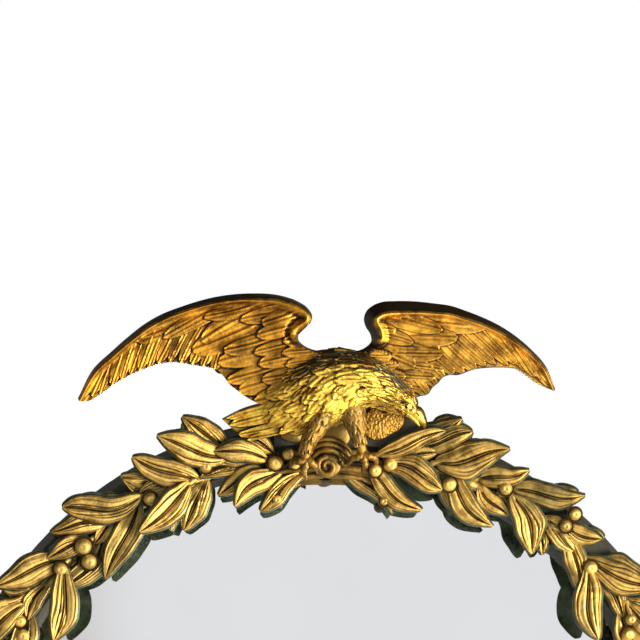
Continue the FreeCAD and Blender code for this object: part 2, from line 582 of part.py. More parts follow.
def make_crest():
    """Board and glue block that carry the eagle, and the iron strip across its wings."""
    holes = group("crest_hole_set", crest_holes())
    front = "{ring_depth} + {crest_board_thickness}"
    panel = block("crest_panel", "-{crest_board_left}", "{crest_board_right}", "0",
                  "{front_radius} + {crest_board_rise}", front, "{ring_depth}")
    edge = peg("crest_panel_edge", "{crest_board_radius}", f"{front} + 1", "{ring_depth} - 1")
    cutters = [edge, holes]
    heads = []
    for index, (x, rise) in enumerate(CREST_SCREWS, 1):
        z = above_ring(rise)
        cutters.append(peg(f"crest_countersink_{index}", "{crest_screw_head_radius} + {fit_gap}",
                           f"{front} + 1", f"{front} - 3", str(x), z))
        cutters.append(peg(f"crest_board_hole_{index}", "{crest_screw_radius} + {fit_gap}",
                           front, "{ring_depth} - 1", str(x), z))
        heads.append(fuse(f"crest_screw_{index}", [
            peg(f"crest_head_{index}", "{crest_screw_head_radius}", front, f"{front} - 3", str(x),
                z),
            peg(f"crest_shank_{index}", "{crest_screw_radius}", f"{front} - 3",
                "{crest_screw_end}", str(x), z)]))
    finish(boolean("Part::Cut", "crest_board_cut", panel, group("crest_board_holes", cutters)),
           "crest_board")
    blank = block("crest_block_blank", "-{crest_block_half_width}", "{crest_block_half_width}",
                  "0", "{front_radius} + {crest_board_rise}", "{ring_depth}", "{crest_block_back}")
    cone = doc.addObject("Part::Cone", "crest_block_seat")
    cone.Placement = Placement(Vector(0, 0, 0), Rotation(Vector(1, 0, 0), -90))
    bind(cone, Radius1="{front_radius}", Radius2="{front_radius} + {ring_draft}", Height="{ring_depth}",
         Placement__Base__y="-{ring_depth}")
    finish(boolean("Part::Cut", "crest_block_cut", blank, group("crest_block_holes",
                                                                [cone, holes])), "crest_block")
    finish(group("crest_screw_set", heads), "crest_screws")
    eagle_screws = [screw(f"eagle_screw_{index}", "{crest_screw_head_radius}",
                          "{crest_screw_radius}", "{eagle_screw_end}", "{crest_block_back}",
                          "{crest_block_back} - 2.5", str(x), above_ring(rise))
                    for index, (x, rise) in enumerate(EAGLE_SCREWS, 1)]
    finish(group("eagle_screw_set", eagle_screws), "eagle_screws")
    middle = "{front_radius} + {strip_rise}"
    bar = block("strip_bar", "-{strip_left}", "{strip_right}", f"{middle} - {{strip_height}} / 2",
                f"{middle} + {{strip_height}} / 2", front, "{strip_back}")
    finish(boolean("Part::Cut", "strip_cut", bar, holes), "wing_strip")
    strip_screws = [screw(f"strip_screw_{index}", "{strip_screw_head_radius}",
                          "{strip_screw_radius}", "{strip_screw_end}", "{strip_back}",
                          "{strip_back} - 1.8", str(x), "{front_radius} + {strip_rise}")
                    for index, x in enumerate(STRIP_SCREW_X, 1)]
    finish(group("strip_screw_set", strip_screws), "wing_strip_screws")
    return holes


# ---- carving -------------------------------------------------------------------------------

def on_front(x, z, depth):
    """A point at a distance from the wall."""
    return Vector(x, -depth, z)


def smooth(points, depth):
    """One smooth curve through (x, z) points, or a straight edge between two."""
    places = [on_front(x, z, depth) for x, z in points]
    if len(places) == 2:
        return Part.makeLine(*places)
    curve = Part.BSplineCurve()
    curve.interpolate(places)
    return curve.toShape()


def slab(strands, back, front):
    """A flat carved slab between two depths whose outline is a loop of smooth strands."""
    wire = Part.Wire([smooth(points, back) for points in strands])
    return Part.Face(wire).extrude(Vector(0, back - front, 0))


def largest(shape):
    """The largest solid of a shape, without the slivers that a cut leaves beside it."""
    return max(shape.Solids, key=lambda solid: solid.Volume)


def cone_between(start, end, start_radius, end_radius):
    """A tapering limb between two points."""
    along = end.sub(start)
    return Part.makeCone(start_radius, end_radius, along.Length, start, along)


def loft_body(sections, back):
    """A rounded body lofted through upright ellipses set across its middle line."""
    wires = []
    for index, (x, z, half_width, half_depth, forward) in enumerate(sections):
        before = sections[max(index - 1, 0)]
        after = sections[min(index + 1, len(sections) - 1)]
        along = Vector(after[0] - before[0], 0, after[1] - before[1]).normalize()
        across = Vector(-along.z, 0, along.x)
        centre = on_front(x, z, back + forward)
        out = Vector(0, -1, 0)
        major, minor = (across * half_width, out * half_depth)
        if half_width < half_depth:
            major, minor = out * half_depth, across * half_width
        ellipse = Part.Ellipse(centre + major, centre + minor, centre)
        wires.append(Part.Wire(ellipse.toShape()))
    return Part.makeLoft(wires, True, False)


def front_half(back):
    """All the room in front of a depth, as a large block to cut with."""
    return Part.makeBox(1200, 400, 1200, Vector(-600, -back - 400, -100))


def eagle_body_shape(back):
    """Body, neck and head with its hooked beak and eyes, flat at the back."""
    shape = loft_body(BODY_SECTIONS, back)
    head_forward = BODY_SECTIONS[-2][4]
    pieces = []
    for (start, radius), (end, end_radius) in zip(BEAK, BEAK[1:]):
        pieces.append(cone_between(on_front(*start, back + head_forward),
                                   on_front(*end, back + head_forward), radius, end_radius))
        pieces.append(Part.makeSphere(end_radius, on_front(*end, back + head_forward)))
    (x, z), eye_radius = EYE
    pieces.append(Part.makeSphere(eye_radius, on_front(x, z, back + head_forward + 11.5)))
    return shape.fuse(pieces).common(front_half(back)).removeSplitter()


def leg_shape(hip, ankle, foot, back):
    """A feathered thigh that tapers to the ankle, and a foot with three gripping claws."""
    hip_at = on_front(*hip, back + LEG_FORWARD)
    ankle_at = on_front(*ankle, back + FOOT_FORWARD - 2)
    foot_at = on_front(*foot, back + FOOT_FORWARD - 4)
    pieces = [cone_between(hip_at, ankle_at, THIGH_RADIUS, ANKLE_RADIUS),
              Part.makeSphere(ANKLE_RADIUS, ankle_at),
              cone_between(ankle_at, foot_at, ANKLE_RADIUS, FOOT_RADIUS - 1.5),
              Part.makeSphere(FOOT_RADIUS, foot_at)]
    for turn in (-38, 0, 38):
        lean = math.radians(turn)
        tip = foot_at + Vector(math.sin(lean), -0.25, -math.cos(lean)) * CLAW_LENGTH
        pieces.append(cone_between(foot_at, tip, CLAW_RADIUS + 0.8, CLAW_RADIUS * 0.6))
    return pieces[0].fuse(pieces[1:])


def beside(points, distance):
    """The points of a closed outline moved inwards, each square to the line past it."""
    moved = []
    for index, (x, z) in enumerate(points):
        before, after = points[index - 1], points[(index + 1) % len(points)]
        run = math.hypot(after[0] - before[0], after[1] - before[1])
        moved.append((x + (after[1] - before[1]) / run * distance,
                      z - (after[0] - before[0]) / run * distance))
    return moved


def inset(strands, distance):
    """A closed outline of strands moved inwards by a distance."""
    moved = beside([point for points in strands for point in points[:-1]], distance)
    moved.append(moved[0])
    result, start = [], 0
    for points in strands:
        stop = start + len(points) - 1
        result.append(moved[start:stop + 1])
        start = stop
    return result


def wing_shape(strands, back):
    """A wing in three steps: ground, covert feathers and the rolled leading edge."""
    leading, root, inside, trailing, covert = (strands[key] for key in
                                               ("leading", "root", "inside", "trailing", "covert"))
    if trailing[-1] != leading[0]:
        trailing = trailing + [leading[0]]
    inward = 1 if leading[0][0] < 0 else -1
    front = back + val("wing_thickness")
    ground = slab([leading, root, inside, trailing], back, front)
    outline = [leading[1:], root, inside, [inside[-1]] + covert[-2::-1], [covert[0], leading[1]]]
    coverts = slab(inset(outline, inward * val("covert_inset")), front - 1,
                   back + val("covert_thickness"))
    outer, inner = (beside(leading, inward * distance)[1:-1] for distance in
                    (val("wing_rim_inset"), val("wing_rim_inset") + val("wing_rim_width")))
    rim = slab([outer, [outer[-1], inner[-1]], inner[::-1], [inner[0], outer[0]]], front - 1,
               back + val("wing_rim_thickness"))
    return ground.fuse([coverts, rim])


def make_eagle(holes):
    """Eagle in separate carvings: body with head, two wings, tail and two legs."""
    back = val("ring_depth") + val("crest_board_thickness")
    body = eagle_body_shape(back)
    tail = slab([[TAIL_POINTS[i], TAIL_POINTS[i + 1]] for i in range(len(TAIL_POINTS) - 1)]
                + [[TAIL_POINTS[-1], TAIL_POINTS[0]]], back, back + val("tail_thickness"))
    tail = largest(tail.cut(body))
    legs = {side: largest(leg_shape(*places, back).cut(body)) for side, places in LEGS.items()}
    wings = {side: largest(wing_shape(strands, back).cut(body.fuse(tail)))
             for side, strands in WINGS.items()}
    carved = {"eagle_body": body, "eagle_tail": tail}
    carved.update({f"leg_{side}": shape for side, shape in legs.items()})
    carved.update({f"wing_{side}": shape for side, shape in wings.items()})
    lift = Vector(0, 0, val("front_radius") - DRAWN_RADIUS)
    carved = {label: shape.translated(lift) for label, shape in carved.items()}
    for label, shape in carved.items():
        feature(label, shape.cut(holes.Shape).removeSplitter())
    return carved


def scroll_shape(back):
    """Rocaille scroll: a rolled middle with a raised eye between two arms along the arch."""
    z = val("scroll_centre")
    roll = Part.makeCylinder(val("scroll_radius"), val("scroll_thickness"), on_front(3, z, back),
                             Vector(0, -1, 0))
    eye = Part.makeCylinder(val("scroll_eye_radius"),
                            val("scroll_thickness") + val("scroll_eye_rise"),
                            on_front(3, z, back), Vector(0, -1, 0))
    arms = ring_sector(val("arch_inner_radius"), val("arch_outer_radius"), -val("arch_angle"),
                       val("arch_angle"), back, back + val("arch_thickness"))
    return roll.fuse([eye, arms])


def ring_sector(inner, outer, start, end, back, front):
    """A stretch of a flat ring between two ring angles and two depths."""
    def place(radius, angle):
        turn = math.radians(angle)
        return on_front(radius * math.sin(turn), radius * math.cos(turn), back)
    middle = (start + end) / 2
    edges = [Part.Arc(place(outer, start), place(outer, middle), place(outer, end)).toShape(),
             Part.makeLine(place(outer, end), place(inner, end)),
             Part.Arc(place(inner, end), place(inner, middle), place(inner, start)).toShape(),
             Part.makeLine(place(inner, start), place(outer, start))]
    return Part.Face(Part.Wire(edges)).extrude(Vector(0, back - front, 0))


def leaf_shape(side, row):
    """One laurel leaf: a pointed oval slab whose tip leans away from the ring."""
    angle, offset, heading, length, width, layer = row
    turn, swing = math.radians(angle), math.radians(heading)
    outward = Vector(side * math.sin(turn), 0, math.cos(turn))
    onward = Vector(side * math.cos(turn), 0, -math.sin(turn))
    flat = onward * math.cos(swing) + outward * math.sin(swing)
    lean = math.radians(val("leaf_tilt"))
    along = flat * math.cos(lean) + Vector(0, -math.sin(lean), 0)
    face = Vector(0, -math.cos(lean), 0) - flat * math.sin(lean)
    across = face.cross(along)
    thickness = val("leaf_thickness")
    base = outward * (val("spine_radius") + offset)
    base.y = -(val("ring_depth") + val("leaf_lift") + layer * val("leaf_layer"))
    base = base - face * (thickness / 2)
    tip = base + along * length
    belly = base + along * (length * 0.48)
    edges = [Part.Arc(base, belly + across * (width / 2), tip).toShape(),
             Part.Arc(tip, belly - across * (width / 2), base).toShape()]
    return Part.Face(Part.Wire(edges)).extrude(face * thickness)


def berry_shape(side, row):
    """A round berry on a short stalk from the ring's face."""
    angle, offset, radius = row
    turn = math.radians(angle)
    reach = val("spine_radius") + offset
    x, z = side * reach * math.sin(turn), reach * math.cos(turn)
    rise = val("berry_height")
    ball = Part.makeSphere(radius, on_front(x, z, val("ring_depth") + rise))
    stalk = Part.makeCylinder(val("stalk_radius"), rise, on_front(x, z, val("ring_depth")),
                              Vector(0, -1, 0))
    return ball.fuse(stalk)


def twig_shape(side, row):
    """A twig from the stem to the lower part of a leaf that grows beside it."""
    angle, offset, heading, length, _, layer = row
    stem_radius = val("spine_radius")
    across = stem_radius + offset + length * 0.22 * math.sin(math.radians(heading))
    onward = length * 0.22 * math.cos(math.radians(heading))
    turn = math.radians(angle) + onward / stem_radius
    outward = Vector(side * math.sin(turn), 0, math.cos(turn))
    start, end = outward * stem_radius, outward * across
    start.y = -(val("ring_depth") + val("stem_height") - val("twig_radius"))
    rise = val("leaf_lift") + layer * val("leaf_layer") - val("leaf_thickness") / 2
    end.y = -(val("ring_depth") + rise)
    return cone_between(start, end, val("twig_radius"), val("twig_radius") * 0.8)


def spray_shape(side, leaves, berries, start, end):
    """One spray carved in one piece: a stretch of stem with its twigs, leaves and berries."""
    depth, half = val("ring_depth"), val("stem_width") / 2
    stem = ring_sector(val("spine_radius") - half, val("spine_radius") + half,
                       *sorted((side * start, side * end)), depth, depth + val("stem_height"))
    pieces = [leaf_shape(side, row) for row in leaves]
    pieces += [berry_shape(side, row) for row in berries]
    pieces += [twig_shape(side, row) for row in leaves if abs(row[1]) > half / 2]
    return stem.fuse(pieces)


def coped(shape, neighbours):
    """A carving cut back where its neighbours lie."""
    near = [other for other in neighbours if other.BoundBox.intersect(shape.BoundBox)]
    near = [other for other in near if shape.common(other).Volume > 0]
    if near:
        shape = shape.cut(near)
    return largest(shape)


def make_laurel(crest, foot):
    """Two branches of laurel from the top to the foot of the ring, each in several sprays."""
    axis = (Vector(0, 0, 0), Vector(0, 1, 0))
    first = APEX_SPRAY_ENDS[len(APEX_SPRAY_ENDS)][1]
    pitch = (180.0 - val("foot_angle") - first) / PLAIN_SPRAYS
    leaves = [(first + row[0],) + row[1:] for row in PLAIN_LEAVES]
    berries = [(first + row[0],) + row[1:] for row in PLAIN_BERRIES]
    plain = spray_shape(-1, leaves, berries, first, first + pitch)
    trimmed = coped(plain, [plain.rotated(*axis, pitch)])
    for side_name, side in (("left", -1), ("right", 1)):
        if side > 0:
            plain, trimmed = (shape.mirror(Vector(0, 0, 0), Vector(1, 0, 0))
                              for shape in (plain, trimmed))
        sprays = [spray_shape(side, APEX_LEAVES[side_name][number], APEX_BERRIES[side_name][number],
                              *APEX_SPRAY_ENDS[number]) for number in APEX_SPRAY_ENDS]
        for number, spray in enumerate(sprays, 1):
            before = sprays[number - 2:number - 1] if number > 1 else []
            feature(f"laurel_{side_name}_{number}", coped(spray, crest + before))
        feature(f"laurel_{side_name}_{len(sprays) + 1}", coped(plain, sprays[-1:]))
        for step in range(1, PLAIN_SPRAYS - 1):
            feature(f"laurel_{side_name}_{len(sprays) + 1 + step}", trimmed, side * pitch * step)
        last = trimmed.rotated(*axis, side * pitch * (PLAIN_SPRAYS - 1))
        feature(f"laurel_{side_name}_{len(sprays) + PLAIN_SPRAYS}",
                coped(last, [foot, middle_guard(side)]))


def middle_guard(side):
    """The room beyond the middle line at the foot, which belongs to the other branch."""
    reach = val("front_radius") + val("ring_draft")
    corner = Vector(0 if side < 0 else -reach, -reach, -1.5 * reach)
    return Part.makeBox(reach, reach, reach, corner)


def make_rosette():
    """Round boss with a domed middle that covers the meeting of the two branches."""
    disc = peg("rosette_disc", "{rosette_radius}", "{ring_depth} + {rosette_thickness}",
               "{ring_depth}", z="-{spine_radius}")
    dome = doc.addObject("Part::Sphere", "rosette_dome")
    bind(dome, Radius="{rosette_dome_radius}", Placement__Base__z="-{spine_radius}",
         Placement__Base__y="-({ring_depth} + {rosette_thickness})")
    return finish(fuse("rosette", [disc, dome]), "foot_rosette")


# ---- the whole mirror ----------------------------------------------------------------------

make_ring()
make_glass()
make_glazing_blocks()
make_backboard()
make_turn_buttons()
make_hang_plate()
make_d_rings()
crest_hole_set = make_crest()
doc.recompute()
carved = make_eagle(crest_hole_set)
scroll = scroll_shape(val("ring_depth"))
feature("scroll", scroll)
rosette = make_rosette()
doc.recompute()
raised = Vector(0, 0, val("hang_drop"))
crest_board = next(item for item in SUBPARTS if item.Label == "crest_board")
make_laurel(list(carved.values()) + [scroll, crest_board.Shape.translated(raised)],
            rosette.Shape.translated(raised))
doc.recompute()

for item in doc.Objects:
    if "Invalid" in item.State or "Error" in item.State:
        raise RuntimeError(f"{item.Name} failed: {item.State}")
os.makedirs("parts", exist_ok=True)
for item in SUBPARTS:
    shape = item.Shape
    if shape.isNull() or not shape.isValid() or not shape.Solids:
        raise RuntimeError(f"{item.Label} has no sound solid")
    shape.exportStep(f"parts/{item.Label}.step")
    print(f"{item.Label}: {len(shape.Solids)} solid(s), {shape.Volume:.0f} mm3")
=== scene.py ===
"""Round convex wall mirror: laurel wreath, spread eagle and scroll in carved and gilded wood."""

import json
import math

import bpy
import numpy as np
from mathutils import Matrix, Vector


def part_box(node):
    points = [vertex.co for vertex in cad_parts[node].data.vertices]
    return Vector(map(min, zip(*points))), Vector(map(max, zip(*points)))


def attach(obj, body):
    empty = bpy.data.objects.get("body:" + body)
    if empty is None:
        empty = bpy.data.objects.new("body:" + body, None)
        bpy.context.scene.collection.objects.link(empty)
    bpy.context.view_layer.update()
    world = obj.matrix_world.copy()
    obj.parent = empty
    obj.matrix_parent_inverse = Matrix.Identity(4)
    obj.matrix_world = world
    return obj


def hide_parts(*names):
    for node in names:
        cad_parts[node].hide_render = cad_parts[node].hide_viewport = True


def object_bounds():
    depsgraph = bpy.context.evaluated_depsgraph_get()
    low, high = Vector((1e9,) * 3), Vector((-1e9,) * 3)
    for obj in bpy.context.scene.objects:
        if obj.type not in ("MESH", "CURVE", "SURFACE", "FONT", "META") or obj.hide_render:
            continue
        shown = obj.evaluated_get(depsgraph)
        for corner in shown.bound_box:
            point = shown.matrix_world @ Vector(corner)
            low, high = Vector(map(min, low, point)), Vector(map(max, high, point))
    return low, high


bl_info = {
    "name": "Gilt laurel mirror",
    "version": (1, 0, 0),
    "blender": (4, 5, 0),
    "location": "View3D > Sidebar > Mirror",
    "description": "Carves and gilds the looks of a round convex wall mirror round its solid frame",
    "category": "Object",
}

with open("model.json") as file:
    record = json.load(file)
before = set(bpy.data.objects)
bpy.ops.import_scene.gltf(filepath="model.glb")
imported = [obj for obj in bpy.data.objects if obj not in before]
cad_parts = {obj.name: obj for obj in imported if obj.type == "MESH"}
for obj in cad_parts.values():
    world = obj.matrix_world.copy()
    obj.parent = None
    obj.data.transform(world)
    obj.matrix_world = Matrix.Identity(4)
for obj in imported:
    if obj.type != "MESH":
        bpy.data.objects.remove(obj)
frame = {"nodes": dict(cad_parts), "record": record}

MM = 0.001
CAD_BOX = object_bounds()
RING_BOX = np.array(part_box("ring_core")) / MM
RING_CENTRE = RING_BOX.mean(axis=0)
FACE_DEPTH = -RING_BOX[0, 1]
BOARD_DEPTH = -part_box("crest_board")[0][1] / MM
SPINE_RADIUS = 358.0

# Laurel leaves of the two branches: ring angle and distance outside the stem of the leaf's base,
# heading from the direction away from the top, length, width and layer. Angles in degrees, the
# rest in millimetres.
APEX_LEAVES = {
    "left": {
        1: [(3.4, -19, -36, 60, 16, 0), (7.2, -14, -29, 61, 22, 1), (10.0, -11, -18, 54, 18, 0),
            (9.4, -1, 19, 56, 20, 2), (8.2, 3, 39, 38, 14, 1), (15.0, 18, 50, 57, 22, 1),
            (14.5, 10, 30, 81, 27, 2), (14.0, -3, 0, 42, 16, 0)],
        2: [(20.8, -3, 40, 72, 25, 1), (25.4, 2, 37, 52, 17, 0), (22.5, -2, -21, 71, 24, 2),
            (25.1, -12, -50, 34, 15, 1), (19.7, -5, -46, 56, 25, 0), (25.0, 2, 6, 40, 16, 0)],
        3: [(30.3, 8, 23, 80, 26, 2), (31.1, 4, -35, 84, 25, 1), (35.5, 1, -10, 35, 14, 0),
            (38.0, 6, 30, 52, 18, 1), (39.0, -3, -14, 66, 24, 0), (41.0, 2, 18, 48, 18, 1)],
    },
    "right": {
        1: [(3.5, -18, -39, 62, 15, 0), (6.9, -9, -33, 70, 18, 1), (9.5, -7, -13, 63, 24, 2),
            (8.3, 3, 28, 72, 18, 2), (11.6, 1, 22, 43, 14, 1), (13.2, 28, 33, 52, 17, 0),
            (14.5, 18, 32, 56, 22, 1)],
        2: [(17.5, 8, 29, 76, 30, 2), (24.7, 8, 35, 52, 20, 1), (20.6, 1, -31, 65, 23, 1),
            (25.3, 3, -21, 43, 18, 0), (18.6, -4, -46, 40, 16, 0)],
        3: [(30.1, 14, 26, 74, 22, 1), (30.5, 9, -41, 62, 27, 2), (35.6, 1, -41, 37, 14, 0),
            (37.0, 8, -11, 44, 20, 1), (41.1, 12, -36, 62, 20, 0), (39.0, 16, 15, 46, 17, 1),
            (36.0, 2, 8, 40, 15, 0)],
    },
}
PLAIN_LEAVES = [
    (1.0, 6, 25, 76, 25, 1), (1.5, 3, -36, 78, 25, 2), (5.5, 1, -8, 44, 16, 0),
    (8.5, 7, 33, 56, 19, 0), (11.0, -1, -22, 64, 23, 1), (10.5, 9, 14, 68, 22, 2),
    (16.0, -2, -44, 50, 20, 0), (16.5, 5, 38, 58, 20, 1), (18.5, 0, 2, 46, 17, 0),
    (6.0, 4, 45, 44, 20, 0), (20.0, 4, 42, 46, 19, 0),
]
# Berries: ring angle, distance outside the stem, radius.
APEX_BERRIES = {
    "left": {1: [(8.3, -5, 7.5), (6.1, 2, 6.0), (5.1, -8, 6.0), (8.9, -42, 5.0)],
             2: [(19.2, 8, 6.5)],
             3: [(29.3, 1, 7.0), (42.4, 2, 8.5), (43.4, -13, 8.0)]},
    "right": {1: [(10.5, -5, 7.5), (8.2, -13, 6.5), (10.6, -42, 5.0)],
              2: [(20.6, -8, 7.5)],
              3: [(29.1, 12, 7.0), (40.0, 30, 6.5), (40.1, 15, 6.5)]},
}
PLAIN_BERRIES = [(2.5, 2, 7.0), (13.0, 3, 6.5), (14.8, -7, 7.0)]
APEX_SPRAY_ENDS = {1: (1.5, 17.0), 2: (17.0, 28.0), 3: (28.0, 45.0)}
PLAIN_SPRAYS, PLAIN_START, FOOT_ANGLE = 6, 45.0, 3.2
LEAF_LIFT, LEAF_LAYER, LEAF_TILT, LEAF_WALL, BERRY_HEIGHT = 6.6, 4.5, 11.0, 4.6, 17.0
LEAF_STEPS, LEAF_ACROSS = 46, 43

# Eagle, in millimetres from the ring's centre. Wing outlines run from the tip to the body.
WINGS = {
    "left": {
        "leading": [(-248, 414), (-232, 444), (-214, 461), (-197, 476), (-180, 489), (-163, 498.4),
                    (-145, 505.3), (-111, 515), (-77, 518.6), (-42, 515.6), (-28, 510.5),
                    (-18, 503.6), (-13.7, 495.8), (-15.5, 489), (-21.5, 484), (-27, 478.6),
                    (-27.5, 472), (-22, 466.4), (-12, 462), (4, 460)],
        "trailing": [(-246, 411.5), (-238.5, 411), (-225, 418), (-209, 429.5), (-194, 437.3),
                     (-180, 443.3), (-168, 447.6), (-156, 449.3), (-128, 446), (-116, 444),
                     (-108, 441), (-102, 435), (-97, 428), (-87, 420), (-77, 413), (-58, 405)],
    },
    "right": {
        "leading": [(229.5, 424), (219.5, 447), (206, 462), (191, 475), (175, 485.6), (158, 494),
                    (141.5, 500.5), (125, 506), (108, 508.5), (90, 510.4), (70, 510.8),
                    (55, 509.6), (47, 506.3), (40.4, 500.5), (38, 493), (39.6, 485.6),
                    (44.5, 477.3), (45.4, 470.6), (40.4, 465), (30.4, 460.7), (17, 460)],
        "trailing": [(228, 421), (221, 423.4), (209.5, 429), (198, 437.5), (189.6, 442.4),
                     (175, 444), (158, 443.3), (150, 442.4), (145, 441), (133, 436.6),
                     (121.6, 436), (117, 434), (113, 429), (107, 424), (102.6, 417.6),
                     (93.5, 415), (80, 412)],
    },
}
# How far the walls of the wings lean in, along the leading edge from tip to body.
WING_DRAFTS = {"left": ((0.0, 0.5), (0.1, 2.2), (0.3, 3.6), (0.65, 4.0), (0.8, 1.6), (1.0, 1.6)),
               "right": ((0.0, 0.5), (0.1, 2.2), (0.4, 6.0), (0.62, 9.0), (0.82, 9.5),
                         (1.0, 5.0))}
# Rows of feathers: a curve of their roots, a curve of their tips, how many, width, rise.
FEATHER_ROWS = {
    "left": [
        ([(-188, 487)], [(-245, 414)], 1, 26.0, 2.0),
        ([(-222, 452), (-204, 468), (-186, 479), (-164, 484), (-140, 482), (-122, 474),
          (-108, 458)],
         [(-245, 413), (-232, 416), (-210, 429), (-183, 442), (-156, 449), (-130, 446),
          (-114, 443)], 14, 13.0, 4.6),
        ([(-84, 482)], [(-132, 463)], 1, 26.0, 4.2), ([(-150, 486)], [(-192, 473)], 1, 17.0, 4.0),
        ([(-134, 501), (-106, 503), (-84, 494)],
         [(-196, 480), (-158, 475), (-126, 473)], 3, 20.0, 4.6),
        ([(-74, 508), (-44, 500)], [(-122, 497), (-88, 492)], 2, 19.0, 5.2),
        ([(-58, 474), (-58, 458), (-54, 444), (-48, 430), (-40, 418)],
         [(-102, 463), (-110, 446), (-99, 431), (-88, 420), (-74, 411)], 5, 21.0, 5.4),
        ([(-34, 500), (-34, 480), (-32, 460), (-30, 440), (-28, 424)],
         [(-66, 488), (-72, 472), (-68, 452), (-66, 436), (-60, 420)], 6, 18.0, 5.2),
        ([(-8, 484), (-6, 464), (-8, 446), (-8, 430)],
         [(-38, 480), (-44, 462), (-42, 444), (-42, 428)], 6, 15.0, 5.0),
    ],
    "right": [
        ([(196, 466), (176, 478), (158, 477), (143, 473), (128, 466), (112, 458), (98, 446),
          (88, 434)],
         [(227, 423), (206, 437), (191, 446), (166, 447), (146, 440), (128, 437), (114, 427),
          (103, 418)], 14, 14.0, 4.8),
        ([(70, 472), (62, 458)], [(112, 462), (92, 448)], 2, 24.0, 3.6),
        ([(108, 489), (70, 494)], [(161, 485), (114, 482)], 2, 20.0, 5.0),
        ([(96, 475), (54, 478)], [(131, 473), (85, 468)], 2, 17.0, 5.2),
        ([(78, 458), (76, 446), (70, 436), (64, 428)],
         [(117, 457), (118, 444), (108, 434), (98, 424)], 4, 15.0, 4.8),
        ([(50, 500), (42, 484)], [(84, 498), (70, 484)], 2, 15.0, 4.6),
        ([(40, 458), (42, 448), (48, 438), (56, 428)],
         [(66, 457), (74, 445), (82, 436), (86, 426)], 4, 14.0, 5.0),
    ],
}
# Body from rump to neck: centre x and z, half width, half depth, centre in front of the board.
BODY_SECTIONS = [
    (-66, 398, 7, 8, 6), (-54, 401, 17, 15, 7), (-38, 406, 26, 20, 8), (-12, 418, 33, 24, 10),
    (12, 428, 33, 25, 11), (32, 431, 27, 24, 13), (50, 427, 20, 20, 16), (66, 418, 15, 16, 18.5),
    (77, 410, 11.5, 13, 20), (84, 404, 8, 9, 21),
]
HEAD_SECTIONS = [
    (60, 421, 13, 14, 20), (70, 415, 13, 15, 20.5), (78, 409.5, 12, 14.5, 21),
    (84, 404, 9.5, 12, 21.5), (87, 401, 7.2, 10, 21.5), (88.5, 400, 7.8, 10, 21.5),
    (94, 394, 6.0, 8, 21), (97.5, 388, 3.0, 5, 20), (98, 384.5, 0.8, 1.5, 18.5),
]
# Painted shade on the head: dark lines round the eye, behind the brow, along the mouth and at
# the nostril, each with its half width and depth.
HEAD_SHADE_LINES = [
    ([(78.6, 407.5), (80.2, 403.8), (83.6, 403.2), (85.8, 406.2), (84.4, 409.6), (80.8, 410.2),
      (78.6, 407.5)], 1.1, 1.6),
    ([(74.5, 411.5), (77.0, 410.6)], 1.9, 1.5), ([(85.6, 409.4), (88.4, 405.2)], 1.2, 1.2),
    ([(81.0, 398.4), (86.5, 394.8), (91.5, 389.6)], 1.1, 1.8),
    ([(89.6, 400.2), (91.6, 397.8)], 0.9, 1.6), ([(70.0, 403.6), (77.0, 398.8)], 2.2, 0.8),
]
TAIL_EDGES = ([(-40, 420), (-60, 411), (-84, 403.4), (-104, 393.4)],
              [(-24, 384), (-46, 378), (-64, 374), (-79, 370.5)])
LEGS = {
    "left": ([(-4, 400, 12.5, 20), (-11, 385, 9.5, 24), (-17, 374, 7.0, 26), (-21, 361, 5.2, 26),
              (-21, 352, 5.4, 25)],
             [[(-24, 352), (-32, 352), (-36, 345)], [(-21, 350), (-23, 341), (-20, 333)],
              [(-17, 352), (-11, 347), (-9, 339)]]),
    "right": ([(24, 410, 12.5, 18), (28, 392, 10.0, 22), (31, 380, 7.2, 25), (34, 368, 5.2, 26),
               (36, 358, 5.4, 25)],
              [[(34, 357), (26, 355), (22, 347)], [(37, 356), (38, 347), (35, 339)],
               [(40, 358), (48, 355), (51, 347)]]),
}
# Body and leg feathers: how pointed, how deep their strands, shaft and crown.
SHAGGY = (1.0, 0.42, 0.0, 0.26)
# Distance between the rings of scales on the toes.
SCALE_PITCH = 4.6
SCROLL_CENTRE = (1.0, 347.0)
# Outlines of the raised grounds behind the neck, the tail and the legs, and of the painted
# ground under the beak.
WEB_OUTLINES = [
    [(38, 398), (48, 404), (64, 406), (79, 394), (76, 384), (64, 376), (50, 371), (38, 378)],
    [(-42, 386), (-30, 388), (-22, 380), (-26, 370), (-38, 370), (-46, 376)],
    [(-8, 384), (6, 392), (20, 386), (24, 372), (14, 362), (-6, 362), (-14, 372)],
]
BEAK_REST = [(72, 396), (82, 397), (90, 392), (96, 385), (96, 377), (84, 372), (73, 378)]
WING_STEPS, WING_ACROSS, TAIL_STEPS, TAIL_ACROSS = 330, 112, 120, 70
FRAME_BODY = "frame"
SHARP_ANGLE = 58.0

# Wear and painted light stored on the points of the carving: rubbed or painted highlight above zero,
# sunk or painted shade below it, and painted walls.
# Walls of the wings and tail take the darkest gilt: partly their dark finish, partly painted shade.
WALL_WEAR_AND_SHADE, PAINT_WEAR, LEAST_GILT_WEAR = -1.0, -2.0, -1.15

# Gildings: colour where worn, colour where bright, roughness and how far it has dulled.
GILDINGS = {
    "oil_gilded_limewood": ("#965F14", "#FFDA5C", 0.42, 0.3),
    "brown_toned_gilding": ("#6C420E", "#D49C36", 0.46, 0.3),
    "red_toned_gilding": ("#7E4E12", "#EEB84A", 0.46, 0.3),
    "bronzed_limewood": ("#765A26", "#E8C470", 0.54, 0.8),
    # Darker gilding on the legs, the scroll and the webs between the legs: partly patina, partly
    # painted shade under the body.
    "smoked_gilding": ("#3E2E14", "#A88440", 0.54, 0.6),
    "stippled_gilding": ("#745018", "#C69A46", 0.55, 0.2),
}
# The left wing's gilding is darker and more orange than the right one's: partly its own tone, partly
# painted shade on the left wing and painted light on the right.
WING_GILDINGS = {"left": "brown_toned_gilding", "right": "red_toned_gilding"}
